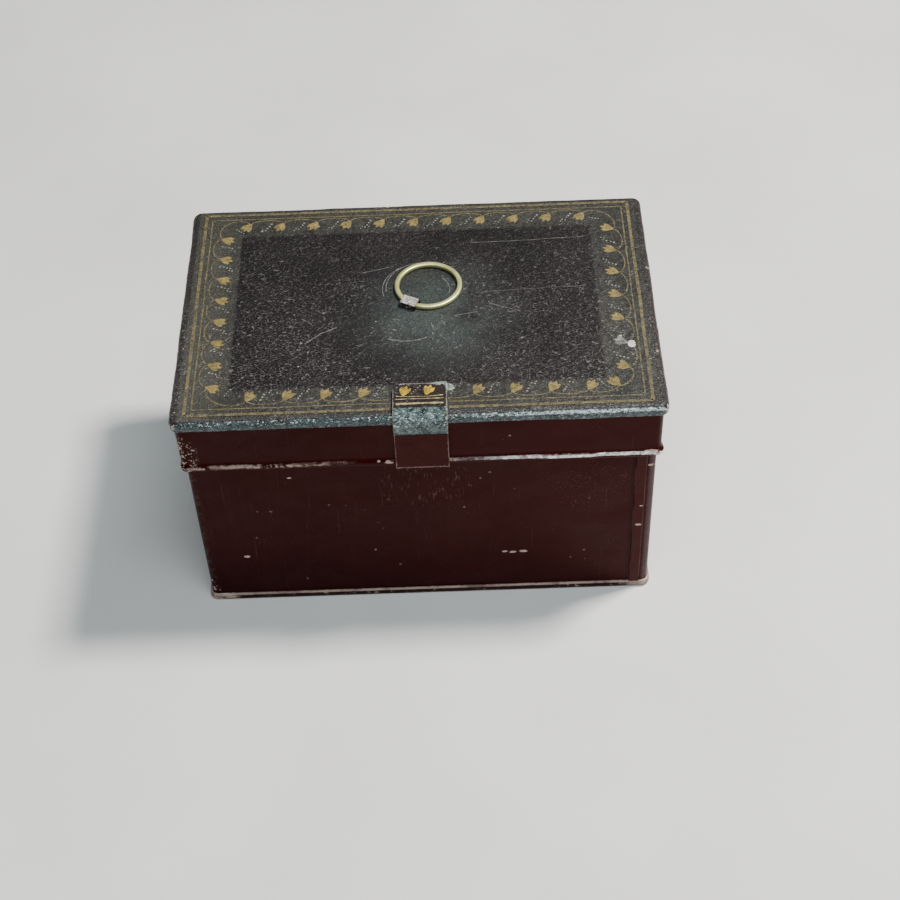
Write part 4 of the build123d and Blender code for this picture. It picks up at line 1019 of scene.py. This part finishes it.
def arc_between(p, q, bulge, count=16):
    """Curve from p to q that bulges to the right of its direction."""
    (ax, ay), (bx, by) = p, q
    dx, dy = bx - ax, by - ay
    size = math.hypot(dx, dy)
    nx, ny = dy / size, -dx / size
    points = []
    for i in range(count + 1):
        t = i / count
        lift = bulge * max(1.0 - (2 * t - 1) ** 2, 0.0) ** 0.6
        points.append((ax + dx * t + nx * lift, ay + dy * t + ny * lift))
    return points


def frame_line(film, half_w, half_d, width):
    """One painted rectangle, slightly uneven, broken under the strap."""
    corners = [(-half_w, -half_d), (half_w, -half_d), (half_w, half_d), (-half_w, half_d)]
    for k in range(4):
        (ax, ay), (bx, by) = corners[k], corners[(k + 1) % 4]
        piece = []
        for i in range(121):
            t = i / 120
            x, y = ax + (bx - ax) * t, ay + (by - ay) * t
            shift = 0.16 * wobble(x, y, 0, 0.08, 40 + half_w) * math.sin(math.pi * t)
            x, y = (x, y + shift) if ay == by else (x + shift, y)
            if under_strap(x, y):
                if len(piece) > 1:
                    film.stripe(piece, width)
                piece = []
            else:
                piece.append((x, y))
        if len(piece) > 1:
            film.stripe(piece, width)


def under_strap(x, y):
    return abs(x - STRAP_MID) < 6.6 and y < STRAP_HI[1] + 0.4


def vine_side(gold, line, pale, cusps, inward, lean, bulge, rubbed=None):
    """Scalloped vine with a leaf at each cusp and rows of dots between the leaves."""
    direction = inward + lean
    ux, uy = math.cos(direction), math.sin(direction)
    for i, (x, y) in enumerate(cusps):
        if not under_strap(x + 1.5 * ux, y + 1.5 * uy):
            (pale if i == rubbed else gold).leaf(x, y, direction, 1.0)
        if i + 1 < len(cusps):
            next_x, next_y = cusps[i + 1]
            points = [p for p in arc_between((x, y), (next_x, next_y), bulge) if not under_strap(*p)]
            if len(points) > 2:
                line.stripe(points, VINE_LINE)
            mx, my = x + (next_x - x) * 0.36, y + (next_y - y) * 0.36
            for k in range(4):
                px = mx + ux * (0.3 + 0.95 * k) + 0.14 * wobble(mx, my, k, 0.9, 3)
                py = my + uy * (0.3 + 0.95 * k) + 0.14 * wobble(my, mx, k, 0.9, 8)
                if not under_strap(px, py):
                    pale.dot(px, py, 0.29 - 0.03 * k)
            for k in range(2):
                px = mx + ux * (2.9 + 0.8 * k) + (next_x - x) * 0.1
                py = my + uy * (2.9 + 0.8 * k) + (next_y - y) * 0.1
                if not under_strap(px, py):
                    pale.dot(px, py, 0.2)


def build_gilt():
    """The painted border of lines, vines, leaves and dots, and the part of it on the strap."""
    gold, line, pale, bright, thin = Film(), Film(), Film(), Film(), Film()
    frame_line(line, *WIDE_FRAME)
    frame_line(line, *THIN_FRAME)
    front = [(-41.3 + 9.15 * i, -32.7) for i in range(10)]
    back = [(44.0 - 8.8 * i, 33.1) for i in range(11)]
    right = [(51.5, -25.6 + 8.6 * i) for i in range(7)]
    left = [(-51.3, 27.4 - 7.85 * i) for i in range(8)]
    half_turn = math.pi / 2
    vine_side(gold, line, pale, front, half_turn, -0.46, 1.3)
    vine_side(gold, line, pale, back, -half_turn, -0.55, 1.3)
    vine_side(gold, line, pale, right, 2 * half_turn, -0.40, 2.0, rubbed=1)
    vine_side(gold, line, pale, left, 0.0, -0.34, 2.0)
    corner = (48.4, -31.7)
    gold.leaf(corner[0], corner[1], math.radians(128), 1.05)
    line.stripe(arc_between(front[-1], corner, 1.5), VINE_LINE)
    line.stripe(arc_between(corner, right[0], 1.9), VINE_LINE)
    turns = ((right[-1], back[0], 3.6), (back[-1], left[0], 4.0), (left[-1], front[0], 3.6))
    for start, end, bulge in turns:
        line.stripe(arc_between(start, end, bulge, 26), VINE_LINE)
    for x, y, direction in ((45.2, -31.6, 2.2), (-46.6, -30.6, 1.0),
                            (48.0, 30.4, 2.9), (-47.6, 31.0, -0.7)):
        for k in range(4):
            pale.dot(x + math.cos(direction) * 0.8 * k, y + math.sin(direction) * 0.8 * k, 0.22)
    # the part of the border that was painted on the strap
    bright.leaf(-3.6, -33.6, 1.30, 0.92)
    bright.leaf(2.0, -33.4, 1.22, 0.92)
    for y, width in ((-33.7, 0.2), (-34.8, 0.24), (-36.3, 0.52)):
        points = []
        for k in range(33):
            t = k / 16 - 1.0
            sag = 0.35 * (1 - t * t) if y > -34 else 0.0
            points.append((STRAP_MID + t * 5.7, y + 0.10 * wobble(t * 6, y, 0, 0.5, 3) - sag))
        thin.stripe(points, width, 0.7)
    for k in range(5):
        pale.dot(-1.5 + 0.5 * k, -33.0 + 0.62 * k, 0.24)
    gold.build("lid_gilt_leaves", GOLD)
    line.build("lid_gilt_lines", LINE_GOLD)
    pale.build("lid_pale_dots", PALE)
    bright.build("strap_gilt", BRIGHT_GOLD)
    thin.build("strap_gilt_lines", STRAP_LINES)


def curve_points(cx, cy, r, start, end):
    """Points along an arc, between two angles in degrees."""
    points = []
    for i in range(41):
        a = math.radians(start + (end - start) * i / 40)
        points.append((cx + r * math.cos(a), cy + r * math.sin(a)))
    return points


def build_marks():
    """Scrapes the ring has left on the lid, long scratches and a drop of white paint."""
    scrape, white = Film(), Film()
    scrape.stripe(curve_points(RING_X - 1.6, RING_Y + 0.3, 9.2, 95, 188), 0.2, 0.9)
    scrape.stripe(curve_points(RING_X - 2.3, RING_Y - 0.2, 9.4, 120, 196), 0.17, 0.9)
    scrape.stripe(curve_points(RING_X - 1.0, RING_Y - 1.0, 6.4, -15, 42), 0.18, 0.9)
    scrape.stripe(curve_points(-2.6, -2.8, 11.0, 245, 297), 0.32, 0.9)
    for points, width in (
        ([(14, 22.5), (30, 22.9), (44, 23.5)], 0.11), ([(15, 3.2), (28, 3.9), (43, 4.5)], 0.10),
        ([(-20, -8.0), (-24, -10.0), (-28, -13.6)], 0.26), ([(-29, -4.5), (-26.5, -6.5)], 0.3),
        ([(3.4, -7.4), (4.4, -10.2)], 0.3), ([(6.0, -6.6), (7.0, -8.4)], 0.22),
        ([(18, -1.0), (26, -4.2)], 0.16), ([(-14, 12.0), (-6, 14.2)], 0.14),
        ([(9.2, -5.2), (15.0, -4.0)], 0.16),
    ):
        fine = []
        for (ax, ay), (bx, by) in zip(points, points[1:]):
            for i in range(12):
                t = i / 12
                x, y = ax + (bx - ax) * t, ay + (by - ay) * t
                fine.append((x, y + 0.2 * wobble(x, y, 0, 0.2, 61)))
        fine.append(points[-1])
        scrape.stripe(fine, width, 1.0)
    white.dot(52.6, -17.8, 0.95)
    white.dot(52.6, -17.1, 0.95)
    white.dot(50.0, -14.6, 0.35)
    scrape.build("ring_scrapes", SCRAPE)
    white.build("white_paint_drop", WHITE)


build_lid_top()
build_skirt()
build_strap()
build_solder()
build_ring()
build_clip()
build_gilt()
build_marks()


# ------------------------------------------------------ floor, light, view
def build_stage():
    s = Shader("studio_floor")
    tone = s.mix(s.ramp(s.noise(0.012, 3.0, 0.5), 0.3, 0.7), (0.60, 0.59, 0.57), (0.66, 0.65, 0.63))
    normal = s.bump(s.noise(0.4, 4.0, 0.6), 0.05, 0.4)
    s.finish(Base_Color=tone, Roughness=s.muladd(s.noise(0.2, 3.0), 0.15, 0.55), Normal=normal)
    mesh = bpy.data.meshes.new("studio_floor")
    corners = [(-3.0, -3.0, 0), (3.0, -3.0, 0), (3.0, 3.0, 0), (-3.0, 3.0, 0)]
    mesh.from_pydata(corners, [], [(0, 1, 2, 3)])
    floor = bpy.data.objects.new("studio_floor", mesh)
    bpy.context.collection.objects.link(floor)
    mesh.materials.append(s.mat)

    world = bpy.data.worlds.new("studio_world")
    bpy.context.scene.world = world
    world.use_nodes = True
    back = world.node_tree.nodes["Background"]
    back.inputs["Color"].default_value = (0.86, 0.92, 1.0, 1)
    back.inputs["Strength"].default_value = 0.15

    def area(name, place, aim, size_x, size_y, power, colour):
        data = bpy.data.lights.new(name, "AREA")
        data.shape = "RECTANGLE"
        data.size, data.size_y = size_x, size_y
        data.energy = power
        data.color = colour
        lamp = bpy.data.objects.new(name, data)
        bpy.context.collection.objects.link(lamp)
        lamp.location = place
        direction = Vector(aim) - Vector(place)
        lamp.rotation_euler = direction.to_track_quat("-Z", "Y").to_euler()

    centre = (0.0, 0.0, 0.04)
    area("key_light", (0.44, 0.14, 0.95), centre, 0.16, 0.16, 21.0, (1.0, 0.97, 0.92))
    area("overhead_light", (0.06, -0.32, 1.0), centre, 0.6, 0.26, 6.5, (0.82, 0.94, 1.0))
    area("front_light", (0.30, -0.95, 0.55), centre, 0.8, 0.5, 3.0, (1.0, 0.95, 0.9))


def build_camera():
    elevation, azimuth, roll = math.radians(47.245), math.radians(-0.964), math.radians(-2.678)
    place = Vector((0.01201, -0.32509, 0.36660))
    forward = Vector((math.sin(azimuth) * math.cos(elevation), math.cos(azimuth) * math.cos(elevation),
                      -math.sin(elevation)))
    level = forward.cross(Vector((0, 0, 1))).normalized()
    up = level.cross(forward)
    right = level * math.cos(roll) + up * math.sin(roll)
    up = right.cross(forward)
    data = bpy.data.cameras.new("photo_camera")
    data.lens = 69.48
    data.sensor_width = 36.0
    data.clip_start = 0.01
    camera = bpy.data.objects.new("photo_camera", data)
    bpy.context.collection.objects.link(camera)
    basis = Matrix((right, up, -forward)).transposed().to_4x4()
    camera.matrix_world = Matrix.Translation(place) @ basis
    bpy.context.scene.camera = camera


build_stage()
build_camera()
